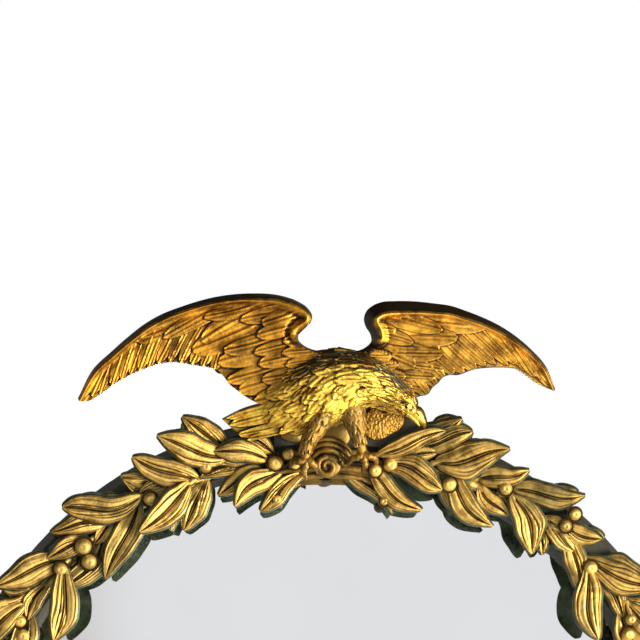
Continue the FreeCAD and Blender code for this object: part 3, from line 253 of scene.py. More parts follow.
# Other finishes with soft patches of two colours: the colours, size and detail of the patches,
# metallic, roughness and how far it strays, and size, strength and depth of a fine grain.
FINISHES = {
    # Dark oil paint on pine, brushed along the turning: nearly black, with a dull shine.
    "green_black_painted_pine": ("#0C110C", "#2B2A18", 0.03, 5.0, 0.0, 0.55, 0.0,
                                 (0.002, 0.25, 0.0004)),
    # A clean mirror with the slight greyness of old plate.
    "silvered_glass": ("#F3F4F5", "#FBFBFB", 0.12, 2.0, 1.0, 0.02, 0.0, None),
    # Handled metals with a dull skin: patches of darker film over a fine worked grain.
    "aged_brass": ("#6E5526", "#B8934A", 0.012, 4.0, 1.0, 0.38, 0.1, (0.0012, 0.2, 0.0002)),
    "forged_iron": ("#17161A", "#3A3734", 0.012, 4.0, 0.9, 0.55, 0.1, (0.002, 0.2, 0.0002)),
    "old_steel": ("#4A4744", "#8E8A84", 0.012, 4.0, 1.0, 0.4, 0.1, (0.0008, 0.2, 0.0002)),
    # Matt pale paper under the mirror.
    "studio_paper": ("#E9E9E7", "#F1F1EF", 0.002, 2.0, 0.0, 0.85, 0.0, None),
}

# Stage, in metres from the frame's origin: place, size, power and colour of each light.
LIGHTS = {
    "key": ((2.2, -1.7, -0.55), 1.0, 180.0, "#FFF3DC"),
    "fill": ((1.9, -1.3, 0.6), 0.8, 16.0, "#FFF0D2"),
    "back": ((0.0, 3.0, -0.4), 0.6, 32.0, "#FFFFFF"),
}
LIGHT_AIM = (0.0, -0.06, 0.0)
FLOOR_GAP, FLOOR_ROUNDS = 0.004, 96
PHOTO_WIDTH, PHOTO_MIDDLE = 640 * MM, (-6.0, 492.0)


# ---- shapes --------------------------------------------------------------------------------

def placed(rows):
    """Rows of (x, depth, z) in millimetres from the ring's centre and the wall, in the frame."""
    rows = np.asarray(rows, float)
    return np.stack([rows[..., 0] + RING_CENTRE[0], -rows[..., 1],
                     rows[..., 2] + RING_CENTRE[2]], axis=-1) * MM


def smoothstep(values, low, high):
    """Zero below low, one above high and 3t^2 - 2t^3 between them."""
    t = np.clip((values - low) / (high - low), 0.0, 1.0)
    return t * t * (3.0 - 2.0 * t)


def smooth_path(points, count, place=3):
    """Rows spread evenly along a smooth curve: between two given rows each column is a cubic
    whose end slopes come from the rows on either side, cut at equal lengths over its first
    columns, which are a place."""
    rows = np.asarray(points, float)
    steps = np.linalg.norm(np.diff(rows[:, :place], axis=0), axis=1)
    reach = np.concatenate(([0.0], np.cumsum(steps)))
    slopes = np.gradient(rows, reach, axis=0)

    def at(spots):
        k = np.clip(np.searchsorted(reach, spots, side="right") - 1, 0, len(rows) - 2)
        gap = (reach[k + 1] - reach[k])[:, None]
        t = (spots - reach[k])[:, None] / gap
        return ((2 * t**3 - 3 * t**2 + 1) * rows[k] + (t**3 - 2 * t**2 + t) * gap * slopes[k]
                + (3 * t**2 - 2 * t**3) * rows[k + 1] + (t**3 - t**2) * gap * slopes[k + 1])

    spots = np.linspace(0.0, reach[-1], 12 * count)
    fine = at(spots)[:, :place]
    run = np.concatenate(([0.0], np.cumsum(np.linalg.norm(np.diff(fine, axis=0), axis=1))))
    return at(np.interp(np.linspace(0.0, run[-1], count), run, spots))


def softened(grid, rounds):
    """A grid averaged with its neighbours again and again, its edges repeated outwards."""
    for _ in range(rounds):
        padded = np.pad(grid, 1, mode="edge")
        grid = (padded[:-2, 1:-1] + padded[2:, 1:-1] + padded[1:-1, :-2] + padded[1:-1, 2:]
                + 2 * grid) / 6.0
    return grid


def wear_of(relief, rounds=6, scale=0.7):
    """How far a carved face stands out of or lies below its surroundings, from -1 to 1."""
    return np.clip((relief - softened(relief, rounds)) / scale, -1.0, 1.0)


def loft(loops, wear_and_shade):
    """A closed shell through loops of points: four-sided faces between neighbours, and a fan
    to the middle of the first and last loop."""
    count, around = loops.shape[:2]
    points = np.concatenate([loops.reshape(-1, 3), loops[[0, -1]].mean(axis=1)])
    values = np.broadcast_to(wear_and_shade, (count, around)).ravel()
    values = np.concatenate([values, [values[:around].mean(), values[-around:].mean()]])
    index = np.arange(count * around).reshape(count, around)
    here, ahead = index[:-1], index[1:]
    quads = np.stack([here, np.roll(here, -1, axis=1), np.roll(ahead, -1, axis=1), ahead],
                     axis=-1).reshape(-1, 4)
    pole = np.full(around, count * around)
    fans = np.concatenate([np.stack([np.roll(index[0], -1), index[0], pole], axis=1),
                           np.stack([index[-1], np.roll(index[-1], -1), pole + 1], axis=1)])
    faces = np.concatenate([quads[:, [0, 1, 2]], quads[:, [0, 2, 3]], fans])
    corners = points[faces]
    volume = np.einsum("ij,ij->i", corners[:, 0], np.cross(corners[:, 1], corners[:, 2])).sum()
    if volume < 0:
        quads, fans = quads[:, ::-1], fans[:, ::-1]
    return points, quads, fans, values


def make_piece(name, shells, material, node=None):
    """One object out of closed shells, with its wear and painted light stored on its points, riding
    the frame.
    """
    offsets = np.cumsum([0] + [len(shell[0]) for shell in shells[:-1]])
    points = np.concatenate([shell[0] for shell in shells])
    quads = np.concatenate([shell[1] + start for shell, start in zip(shells, offsets)])
    fans = np.concatenate([shell[2] + start for shell, start in zip(shells, offsets)])
    wear_and_shade = np.concatenate([shell[3] for shell in shells])
    points = np.clip(points, *np.array(CAD_BOX))
    mesh = bpy.data.meshes.new(name)
    mesh.vertices.add(len(points))
    mesh.vertices.foreach_set("co", points.astype(np.float32).ravel())
    corners = np.concatenate([quads.ravel(), fans.ravel()]).astype(np.int32)
    mesh.loops.add(len(corners))
    mesh.loops.foreach_set("vertex_index", corners)
    starts = np.concatenate([np.arange(len(quads)) * 4, len(quads) * 4 + np.arange(len(fans)) * 3])
    mesh.polygons.add(len(starts))
    mesh.polygons.foreach_set("loop_start", starts.astype(np.int32))
    mesh.update(calc_edges=True)
    mesh.validate()
    mesh.polygons.foreach_set("use_smooth", np.ones(len(mesh.polygons), bool))
    mesh.set_sharp_from_angle(angle=math.radians(SHARP_ANGLE))
    layer = mesh.attributes.new("wear_and_shade", "FLOAT", "POINT")
    layer.data.foreach_set("value", wear_and_shade.astype(np.float32))
    mesh.materials.append(material)
    piece = bpy.data.objects.new(name, mesh)
    bpy.context.scene.collection.objects.link(piece)
    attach(piece, FRAME_BODY)
    if node:
        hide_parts(node)
    return piece


def across_path(path):
    """Unit vectors along a path, level across it and out of the wall from it."""
    along = np.gradient(path, axis=0)
    along /= np.linalg.norm(along, axis=1, keepdims=True)
    level = np.cross(along, [0.0, 1.0, 0.0])
    level /= np.linalg.norm(level, axis=1, keepdims=True)
    return along, level, np.cross(level, along)


def feathers_on(length, girth, tufts, tip=0.5, comb=0.12, shaft=1.0, crown=0.45):
    """Height of overlapping feathers on a surface measured in millimetres. Each feather bends as
    s^2 - s, rises in a straight line from root to tip and is crowned across as 1 - n^2; a cosine
    cuts it into strands, whose ends are ragged, and its end is (1 - t^2) to a power, round for a
    half and pointed for more. It shows where it is higher than what lies there."""
    height = np.zeros(length.shape)
    for root_a, root_b, tip_a, tip_b, width, rise, bend in tufts:
        run_a, run_b = tip_a - root_a, tip_b - root_b
        reach, half = math.hypot(run_a, run_b), width / 2
        s = ((length - root_a) * run_a + (girth - root_b) * run_b) / reach**2
        n = ((girth - root_b) * run_a - (length - root_a) * run_b) / reach
        n = (n - bend * reach * (s * s - s)) / half
        near = (s > -0.1) & (s < 1.1) & (np.abs(n) < 1.2)
        s, n = s[near], n[near]
        strands = np.cos(n * (1.1 + 0.16 * width) * np.pi + 2.2 * s + 9.0 * bend)
        ragged = s + 0.07 * comb * strands
        outline = np.clip(1.0 - np.clip((ragged - 0.45) / 0.55, 0.0, 1.0)**2, 0.0, 1.0)**tip
        edge = np.minimum(outline - np.abs(n), (1.0 - ragged) * reach / half) * half
        top = (rise * (0.1 + 0.9 * s) + crown * rise * (1 - n**2) + comb * strands
               + shaft * (0.7 * np.exp(-(n / 0.1)**2)
                          - 0.6 * np.exp(-((np.abs(n) - 0.24) / 0.1)**2))
               + 0.4 * np.exp(-((np.abs(n) - 0.84 * outline) / 0.12)**2))
        here = height[near]
        height[near] = here + (np.maximum(top - here, 0.0) * smoothstep(edge, 0.0, 0.8)
                               * smoothstep(s, -0.1, 0.1))
    return height


def distance_to(x, z, line):
    """How far each place of a grid is from the nearest point of a line."""
    gaps = (x[..., None] - line[:, 0])**2 + (z[..., None] - line[:, 1])**2
    return np.sqrt(gaps.min(axis=-1))


def inward(line, other, distance):
    """A line moved square to itself, towards another, by a distance for each of its points."""
    along = np.gradient(line, axis=0)
    along /= np.linalg.norm(along, axis=1, keepdims=True)
    side = np.stack([along[:, 1], -along[:, 0]], axis=1)
    middle = len(line) // 2
    if np.dot(side[middle], other[middle] - line[middle]) < 0:
        side = -side
    return line + side * np.broadcast_to(distance, len(line))[:, None]


def carved_slab(leading, trailing, across, carve, back, draft):
    """A slab between two edges whose front is carved: each loop runs straight over the front
    from edge to edge, down the leaning wall and back over the flat rear."""
    upper, lower = inward(leading, trailing, draft), inward(trailing, leading, 0.25 * draft)
    v = np.linspace(0.0, 1.0, across)[None, :, None]
    front = upper[:, None] * (1 - v) + lower[:, None] * v
    relief = carve(front[..., 0], front[..., 1], upper, lower)
    rows = np.stack([front[..., 0], back + relief, front[..., 1]], axis=-1)
    edges = np.stack([trailing, leading], axis=1)
    rear = np.stack([edges[..., 0], np.full(edges.shape[:2], back), edges[..., 1]], axis=-1)
    wall = 0.5 * (rows[:, [-1, 0]] + rear)
    loops = np.concatenate([rows, wall[:, :1], rear, wall[:, 1:]], axis=1)
    # The walls get the darkest gilt: partly a dark finish, partly painted shade.
    wear_and_shade = np.full(loops.shape[:2], WALL_WEAR_AND_SHADE)
    wear_and_shade[:, :across] = wear_of(relief)
    return loft(placed(loops), wear_and_shade)


def limb(points, count, around, relief=None, flat=1.0):
    """A round limb along a smooth path of (x, depth, z, radius): circles set square to it, each
    pushed out by a relief worked out from the length along and the girth around."""
    rows = smooth_path(points, count)
    path, radius = rows[:, :3], rows[:, 3:4]
    _, level, out = across_path(path)
    angle = np.linspace(0.0, 2 * np.pi, around, endpoint=False)[None, :]
    reach = np.repeat(radius, around, axis=1)
    wear_and_shade = np.zeros(reach.shape)
    if relief:
        steps = np.linalg.norm(np.diff(path, axis=0), axis=1)
        length = np.concatenate(([0.0], np.cumsum(steps)))[:, None] + 0 * angle
        rise = relief(length, (angle - np.pi / 2) * radius.mean())
        wear_and_shade = wear_of(rise)
        reach = reach + rise
    loops = (path[:, None] + (reach * np.cos(angle))[..., None] * level[:, None]
             + (reach * np.sin(angle) * flat)[..., None] * out[:, None])
    return loft(placed(loops), wear_and_shade)


def mound(outline, back, front, crown, rings=14):
    """A low mound on an outline: the outline itself shrinks to its middle while the height
    grows as the square root of one minus the shrinking squared."""
    edge = smooth_path(outline + outline[:1], 72, place=2)[:-1]
    middle = edge.mean(axis=0)
    share = np.cos(np.linspace(0.0, np.pi / 2, rings))[:-1]
    scales = np.concatenate([[1.0, 1.0], share[1:]])[:, None, None]
    depths = np.concatenate([[back, front], front + crown * np.sqrt(1 - share[1:]**2)])
    flat = middle + (edge - middle)[None] * scales
    loops = np.stack([flat[..., 0], depths[:, None] + 0 * flat[..., 0], flat[..., 1]], axis=-1)
    return loft(placed(loops), np.where(scales[..., 0] > 0.97, -0.6, 0.1))


# ---- laurel --------------------------------------------------------------------------------

def ring_directions(side, angle):
    """Unit vectors out from the ring's centre and onwards from its top, at a ring angle."""
    turn = math.radians(angle)
    return (np.array([side * math.sin(turn), 0.0, math.cos(turn)]),
            np.array([side * math.cos(turn), 0.0, -math.sin(turn)]))


def laurel_leaf(side, row, fate, relief):
    """One carved leaf. Its half width is a power of s times a power of 1-s, fullest past the
    middle; its top is two pillows either side of a cut rib, with folds that run from rib to rim
    as straight lines in (n, s), shallow waves between them and a raised rim; it bends sideways,
    arches, cups and twists; a thick wall leans out to the flat underside."""
    angle, offset, heading, length, width, layer = row
    outward, onward = ring_directions(side, angle)
    swing, lean = math.radians(heading), math.radians(LEAF_TILT + fate.uniform(-3, 3))
    flat = onward * math.cos(swing) + outward * math.sin(swing)
    out = np.array([0.0, 1.0, 0.0])
    along = flat * math.cos(lean) + out * math.sin(lean)
    face = out * math.cos(lean) - flat * math.sin(lean)
    across = np.cross(face, along)
    base = outward * (SPINE_RADIUS + offset)
    base[1] = FACE_DEPTH + LEAF_LIFT + layer * LEAF_LAYER

    twist, curl, arch = fate.uniform(-0.2, 0.2), fate.uniform(-7, 1), fate.uniform(0, 3)
    bend, snake, cup = fate.uniform(-0.07, 0.07), fate.uniform(-0.035, 0.035), fate.uniform(-3, 2)
    root_power, end_power = fate.uniform(0.62, 1.0), fate.uniform(0.72, 0.98)
    peak = root_power / (root_power + end_power)
    wave, ripple = fate.uniform(0, 2 * np.pi, 2)
    s = (0.5 - 0.5 * np.cos(np.linspace(0.02, 0.988, LEAF_STEPS) * np.pi))[:, None]
    n = np.sin(np.linspace(-0.5, 0.5, LEAF_ACROSS) * np.pi)[None, :]
    half = (s / peak)**root_power * ((1 - s) / (1 - peak))**end_power
    half = half * (1 + 0.06 * np.sin(8 * s + wave) + 0.035 * np.sin(17 * s + ripple))
    half = width / 2 * 1.06 * half + 1.6 * (1 - s)**4
    fullness = np.minimum(1.0, half / (0.32 * width))
    pillow = 3.2 * np.abs(n)**0.55 * (1 - 0.72 * n**2)
    rib = -2.3 * np.exp(-((np.abs(n) - 0.085) / 0.07)**2) + 1.1 * np.exp(-(n / 0.04)**2)
    rim = 1.1 * np.exp(-((np.abs(n) - 0.91) / 0.06)**2)
    folds = 0.12 * np.sin(n * 13 + 3.0 * s + ripple) + 0.5 * np.sin(5.0 * s + ripple + 2 * n)
    for edge in (-1, 1):
        for first, depth in ((0.2, 2.1), (0.5, 1.3)):
            start, run, deep = (fate.uniform(first - 0.08, first + 0.14), fate.uniform(0.1, 0.6),
                                fate.uniform(0.2, 1.0)**2 * depth)
            aside = edge * n - start - run * (s - 0.2) - 0.05 * np.sin(6 * s + wave)
            ends = np.sin(np.pi * np.clip(s * 1.05, 0, 1))**0.7
            folds = folds + deep * ends * (0.6 * np.exp(-((aside + 0.13) / 0.09)**2)
                                           - np.exp(-(aside / 0.065)**2))
    top = relief * fullness * (pillow + rib + rim + folds)
    lift = (curl * s**2 + arch * np.sin(np.pi * s) + twist * n * half * (0.3 + s)
            + cup * n**2 * fullness)
    drop = LEAF_WALL * (0.45 + 0.55 * fullness)
    under = np.array([1.0, 1.02, 0.5, 0.0, -0.5, -1.02, -1.0])[None, :]
    under_side = half * under + np.sign(under) * np.where(np.abs(under) == 1.0, 1.3, 2.2)
    under_lift = np.where(np.abs(under) == 1.0, -0.3, -1.0) * drop + 0 * s

    def at(sideways, height):
        sideways = sideways + length * (2 * bend * np.sin(np.pi * s)
                                        + snake * np.sin(2 * np.pi * s))
        return (base + (along * length)[None, None] * s[..., None]
                + across * sideways[..., None] + face * height[..., None])

    loops = np.concatenate([at(half * n, top + lift + 0.8),
                            at(under_side, under_lift + curl * s**2 + arch * np.sin(np.pi * s)
                               + twist * under * half * (0.3 + s)
                               + cup * np.minimum(under**2, 1) * fullness)], axis=1)
    wear_and_shade = np.full(loops.shape[:2], PAINT_WEAR)
    wear_and_shade[:, :LEAF_ACROSS] = np.clip(wear_of(top, 4, 0.5) + 0.2 * fate.uniform(-1, 1), -1, 1)
    wear_and_shade[:, [0, LEAF_ACROSS - 1]] = 0.3
    return loft(placed(loops), wear_and_shade)


def berry(side, row):
    """A ball with a small dimple in a shallow cup: circles round the axis out of the wall whose
    radius and height follow the sine and cosine of an angle."""
    angle, offset, radius = row
    outward, _ = ring_directions(side, angle)
    centre = outward * (SPINE_RADIUS + offset)
    polar = np.linspace(0.06, np.pi - 0.04, 22)
    ball = np.stack([radius * np.sin(polar), BERRY_HEIGHT - radius * np.cos(polar)
                     - 1.1 * np.exp(-((polar - np.pi) / 0.3)**2)], axis=1)
    cup = np.array([(0.5, 0.3), (0.75, 0.3), (1.12, 0.7), (1.26, 1.0), (1.2, 1.12), (1.02, 1.08),
                    (0.9, 0.95), (0.4, 0.8)]) * (radius, BERRY_HEIGHT)
    shells = []
    # The ball is lighter on its front as a painted highlight and darker towards the wall as painted
    # shade; the cup is darker all over.
    for profile, tone in ((ball, -np.cos(polar) * 0.7 - 0.1), (cup, np.full(len(cup), -0.75))):
        turn = np.linspace(0.0, 2 * np.pi, 26, endpoint=False)[None, :]
        loops = np.stack([centre[0] + profile[:, :1] * np.cos(turn),
                          FACE_DEPTH + profile[:, 1:] + 0 * turn,
                          centre[2] + profile[:, :1] * np.sin(turn)], axis=-1)
        shells.append(loft(placed(loops), tone[:, None]))
    return shells


def stem(side, start, end):
    """The branch's stem along the ring, swollen where the leaves part from it."""
    angles = np.linspace(start, end, 12)
    rows = []
    for step, angle in enumerate(angles):
        outward, _ = ring_directions(side, angle)
        place = outward * SPINE_RADIUS
        rows.append((place[0], FACE_DEPTH + 4.2, place[2], 4.9 + 0.9 * (step % 2)))
    return limb(rows, 40, 14)


def twig(side, row):
    """A twig that leaves the stem in a curve and ends under a leaf."""
    angle, offset, heading, length, _, layer = row
    swing = math.radians(heading)
    root_out, _ = ring_directions(side, angle - 2.0)
    outward, onward = ring_directions(side, angle)
    root = root_out * SPINE_RADIUS
    foot = outward * (SPINE_RADIUS + offset)
    tip = foot + (onward * math.cos(swing) + outward * math.sin(swing)) * length * 0.25
    rise = FACE_DEPTH + LEAF_LIFT + layer * LEAF_LAYER
    return limb([(root[0], FACE_DEPTH + 5.0, root[2], 3.2),
                 (foot[0], rise - 1.5, foot[2], 3.0),
                 (tip[0], rise - 0.5, tip[2], 1.6)], 14, 10)


def spray(side, leaves, berries, start, end, seed, relief):
    """All shells of one spray of laurel; a shorter leaf lies under each outer one."""
    fate = np.random.default_rng(seed)
    shells = [stem(side, start, end)]
    for row in leaves:
        shells.append(laurel_leaf(side, row, fate, relief))
        shells.append(twig(side, row))
        angle, offset, heading, length, width, _ = row
        if heading > 12 and length > 45:
            shells.append(laurel_leaf(side, (angle + 2.2, offset + 2, heading + 9, 0.74 * length,
                                             0.9 * width, -0.7), fate, relief))
    for row in berries:
        shells += berry(side, row)
    return shells


# ---- eagle ---------------------------------------------------------------------------------

def feather_rows(rows, fate):
    """Feathers of every row: roots and tips taken evenly along the row's two curves."""
    tufts = []
    for roots, tips, count, width, rise in rows:
        starts, ends = (smooth_path(line, count, place=2) if count > 1 else line
                        for line in (roots, tips))
        for (root_x, root_z), (tip_x, tip_z) in zip(starts, ends):
            stray = 0.12 * width
            root_x, root_z = 1.3 * root_x - 0.3 * tip_x, 1.3 * root_z - 0.3 * tip_z
            tufts.append((root_x, root_z, tip_x + fate.uniform(-stray, stray),
                          tip_z + fate.uniform(-stray, stray), width * fate.uniform(0.85, 1.2),
                          rise * fate.uniform(0.85, 1.15), fate.uniform(-0.12, 0.12)))
    return tufts


def wing(side, relief):
    """A spread wing: shingled feathers under a rolled rim that follows the leading edge at a
    small distance as a bell curve, thicker towards the body and thin at the trailing edge."""
    fate = np.random.default_rng(31 if side == "left" else 32)
    leading, trailing = (smooth_path(WINGS[side][edge], WING_STEPS, place=2)
                         for edge in ("leading", "trailing"))
    tufts = feather_rows(FEATHER_ROWS[side], fate)

    def carve(x, z, upper, lower):
        near, far = distance_to(x, z, upper[:290]), distance_to(x, z, lower)
        inner = smoothstep(-x if side == "right" else x, -95.0, -5.0)
        ground = 6.5 + 9.0 * inner + 1.6 * smoothstep(far, 0.0, 30.0)
        roll = 2.2 + 1.5 * inner
        edge = 5.0 * np.exp(-((near - roll - 0.4) / roll)**2)
        edge = edge - 2.6 * np.exp(-((near - 2.5 * roll - 2.6) / 2.6)**2)
        feathers = relief * feathers_on(x, z, tufts) * smoothstep(near, 3.0, 9.0)
        return ground + 3.2 * smoothstep(14.0 - near, 0.0, 12.0) + edge + feathers

    draft = np.interp(np.linspace(0.0, 1.0, WING_STEPS), *zip(*WING_DRAFTS[side]))
    return carved_slab(leading, trailing, WING_ACROSS, carve, BOARD_DEPTH, draft)


def tail(relief):
    """The tail: a fan of long feathers under a row of shorter ones."""
    fate = np.random.default_rng(33)
    upper, lower = (smooth_path(edge, TAIL_STEPS, place=2) for edge in TAIL_EDGES)
    tufts = feather_rows([
        ([(-36, 414), (-28, 398), (-22, 384)], [(-103, 395), (-92, 382), (-80, 372)], 4, 16, 6),
        ([(-20, 414), (-14, 398), (-12, 386)], [(-62, 404), (-56, 392), (-48, 380)], 4, 15, 7),
    ], fate)

    def carve(x, z, *_):
        return 7.0 + relief * feathers_on(x, z, tufts) + 5.0 * smoothstep(x, -90.0, -40.0)

    return carved_slab(upper, lower, TAIL_ACROSS, carve, BOARD_DEPTH, 1.2)


def sections_limb(sections, count, around, tufts, relief, back, painted_shading):
    """A body of upright ovals set across a smooth middle line, flat at the back, pushed out
    square to itself by the tufts that lie over it, with painted shade on its upper side, darker
    towards its beak end, a painted highlight on its front and paint on its back."""
    rows = smooth_path(sections, count, place=2)
    middle = rows[:, :2]
    along = np.gradient(middle, axis=0)
    steps = np.linalg.norm(along, axis=1)
    along /= steps[:, None]
    turn = np.linspace(0.0, 2 * np.pi, around, endpoint=False)[None, :]
    length = np.cumsum(steps)[:, None] + 0 * turn
    girth = (turn - np.pi / 2) * (rows[:, 2:3] + rows[:, 3:4]) / 2
    rise = relief * feathers_on(length, girth, tufts, *SHAGGY)
    level = (rows[:, 2:3] + rise) * np.cos(turn)
    depth = back + rows[:, 4:5] + (rows[:, 3:4] + rise) * np.sin(turn)
    loops = np.stack([middle[:, :1] + level * -along[:, 1:], np.maximum(depth, back + 0.3),
                      middle[:, 1:] + level * along[:, :1]], axis=-1)
    along_body = length / length.max()
    # Painted shade: the upper side is darkened where light would not fall on it.
    shade_and_paint = painted_shading * smoothstep(np.cos(turn) + 0 * length, 0.35, 0.85) * smoothstep(
        along_body, 0.15, 0.4)
    # Darker towards the end nearest the beak.
    shade_and_paint = shade_and_paint + 0.45 * painted_shading * smoothstep(along_body, 0.7, 0.9)
    # Paint on the back.
    shade_and_paint = shade_and_paint + 2.0 * smoothstep(-np.sin(turn) + 0 * length, 0.3, 0.6)
    # Painted highlight: the front is lightened where light would fall on it.
    rubbed_and_highlit = 0.5 * painted_shading * smoothstep(np.sin(turn - 0.35) + 0 * length, 0.4, 1.0) * smoothstep(
        along_body, 0.3, 0.6) * smoothstep(1 - along_body, 0.05, 0.25)
    streaks = wear_of(rise) * (1.0 + 1.0 * smoothstep(along_body, 0.45, 0.75))
    return loft(placed(loops), streaks - shade_and_paint + rubbed_and_highlit)


def plumage(length, girth_reach, sizes, fate):
    """Shaggy pointed tufts in uneven rows along a body, each lying towards the tail end; those of
    the belly droop."""
    tufts, place, row = [], 2.0, 0
    while place < length:
        share = place / length
        long, wide, rise = (np.interp(share, *zip(*column)) for column in sizes)
        reach = girth_reach(share)
        count = max(int(2 * reach / (wide * 0.62)), 3)
        for step in fate.permutation(count):
            spot = -reach + (step + 0.5 * (row % 2)) * 2 * reach / count
            spot += fate.uniform(-0.3, 0.3) * wide
            droop = 0.3 * smoothstep(spot / reach, -0.2, 0.5) * math.sin(math.pi * share)
            end = place + fate.uniform(-0.3, 0.3) * long
            tufts.append((end + long * fate.uniform(0.8, 1.3), spot, end,
                          spot + long * (fate.uniform(-0.22, 0.22) + droop),
                          wide * fate.uniform(0.7, 1.3), rise * fate.uniform(0.6, 1.3),
                          fate.uniform(-0.3, 0.3)))
        place += long * 0.4
        row += 1
    return tufts


def shaded_along(shell, shade_lines):
    """A shell darkened with painted shade along drawn lines: its wear falls as a bell curve of the
    distance from them, yet not so low that it would turn to paint."""
    points, quads, fans, wear_and_shade = shell
    x, _, z = (points / MM - RING_CENTRE).T
    for line, reach, depth in shade_lines:
        fall = depth * np.exp(-(distance_to(x, z, smooth_path(line, 24, place=2)) / reach)**2)
        wear_and_shade = np.minimum(wear_and_shade, np.maximum(wear_and_shade - fall, LEAST_GILT_WEAR))
    return points, quads, fans, wear_and_shade


def eagle_body(relief):
    """Body and neck under tufts, and a bare head with brow, eye and hooked beak."""
    fate = np.random.default_rng(34)
    rows = smooth_path(BODY_SECTIONS, 240, place=2)
    length = np.linalg.norm(np.diff(rows[:, :2], axis=0), axis=1).sum()
    girths = (rows[:, 2] + rows[:, 3]) / 2 * math.radians(105)
    tufts = plumage(length, lambda share: np.interp(share, np.linspace(0, 1, 240), girths),
                    (((0, 24), (0.5, 24), (0.75, 20), (1, 12)),
                     ((0, 11), (0.5, 9.5), (0.75, 6.0), (1, 4.0)),
                     ((0, 4.0), (0.5, 4.0), (0.75, 3.2), (1, 1.8))), fate)
    # The last argument sets the strength of the painted shade and highlight.
    body = sections_limb(BODY_SECTIONS, 300, 220, tufts, relief, BOARD_DEPTH, 1.1)
    head_tufts = plumage(24, lambda share: 23 - 7 * share,
                         (((0, 13), (1, 6)), ((0, 4.2), (1, 2.8)), ((0, 2.6), (1, 1.2))), fate)
    head = sections_limb(HEAD_SECTIONS, 200, 160, head_tufts, 1.0, BOARD_DEPTH, 0.7)
    head = shaded_along(head, HEAD_SHADE_LINES)
    front = BOARD_DEPTH + 32.5
    brow = limb([(72, front + 1.0, 414.0, 1.0), (78, front + 1.8, 413.2, 1.9),
                 (84, front + 0.6, 410, 2.0), (88.5, front - 2.5, 404.5, 0.9)], 30, 14)
    eye = limb([(82, front - 2.0, 406.6, 0.5), (82, front - 1.0, 406.6, 1.9),
                (82, front + 0.4, 406.6, 2.5), (82, front + 1.8, 406.6, 1.8),
                (82, front + 2.6, 406.6, 0.3)], 16, 18)
    lid = limb([(77.6, front + 1, 407, 0.7), (80.4, front + 1.4, 403.4, 1.0),
                (84.6, front - 1.0, 403, 0.6)], 18, 10)
    jaw = limb([(80, front - 5, 399.5, 3.2), (86, front - 5.5, 395.0, 2.6),
                (90.5, front - 7, 390.2, 1.8), (92.5, front - 8, 387.0, 0.6)], 26, 14)
    nostril = limb([(88.6, front - 3.6, 402.4, 0.5), (90.3, front - 3.4, 400.6, 1.0),
                    (91.6, front - 4.0, 398.8, 0.4)], 10, 8)
    return [body, head, brow, eye, lid, jaw, nostril]


def leg(side, relief):
    """A feathered leg and three toes, each with knuckles and a hooked talon."""
    fate = np.random.default_rng(35 if side == "left" else 36)
    path, toes = LEGS[side]
    tufts = [(10.0 * k, (j - 4.5) * 5.0 + 2.5 * (k % 2), 10.0 * k + 15.0,
              (j - 4.5) * 5.0 + 2.5 * (k % 2) + fate.uniform(-2, 2), 6.5, 3.0, 0.1)
             for k in range(-1, 4) for j in range(10)]
    shells = [limb([(x, BOARD_DEPTH + out, z, radius) for x, z, radius, out in path], 90, 60,
                   lambda length, girth: 0.6 * relief * feathers_on(
                       length, girth, tufts, *SHAGGY))]
    ankle = path[-1]
    for toe in toes:
        depth = BOARD_DEPTH + ankle[3]
        rows = [(ankle[0], depth - 1, ankle[1] + 3, 4.0),
                (toe[0][0], depth + 3.2, toe[0][1], 3.9), (toe[1][0], depth + 1.5, toe[1][1], 3.0),
                ((toe[1][0] + toe[2][0]) / 2, depth - 2.5, (toe[1][1] + toe[2][1]) / 2 + 1, 2.3),
                (toe[2][0], depth - 9.0, toe[2][1], 0.5)]
        shells.append(limb(rows, 40, 16, lambda length, girth:
                           0.45 * np.maximum(np.cos(length * 2 * np.pi / SCALE_PITCH), 0.0)
                           * smoothstep(26.0 - length, 4.0, 14.0)))
    return shells


def spiral(centre, start_radius, turns, sense, depth, thick, count=110):
    """A roll whose distance from its centre shrinks evenly as it turns, rising to its eye."""
    turn = np.linspace(0.0, turns * 2 * np.pi, count)
    share = turn / turn[-1]
    reach = start_radius * (1 - 0.86 * share)
    rows = np.stack([centre[0] + reach * np.sin(sense * turn), depth + 3.5 * share,
                     centre[1] + reach * np.cos(turn), thick * (1 - 0.45 * share)], axis=1)
    return limb(rows[::10], count, 16)


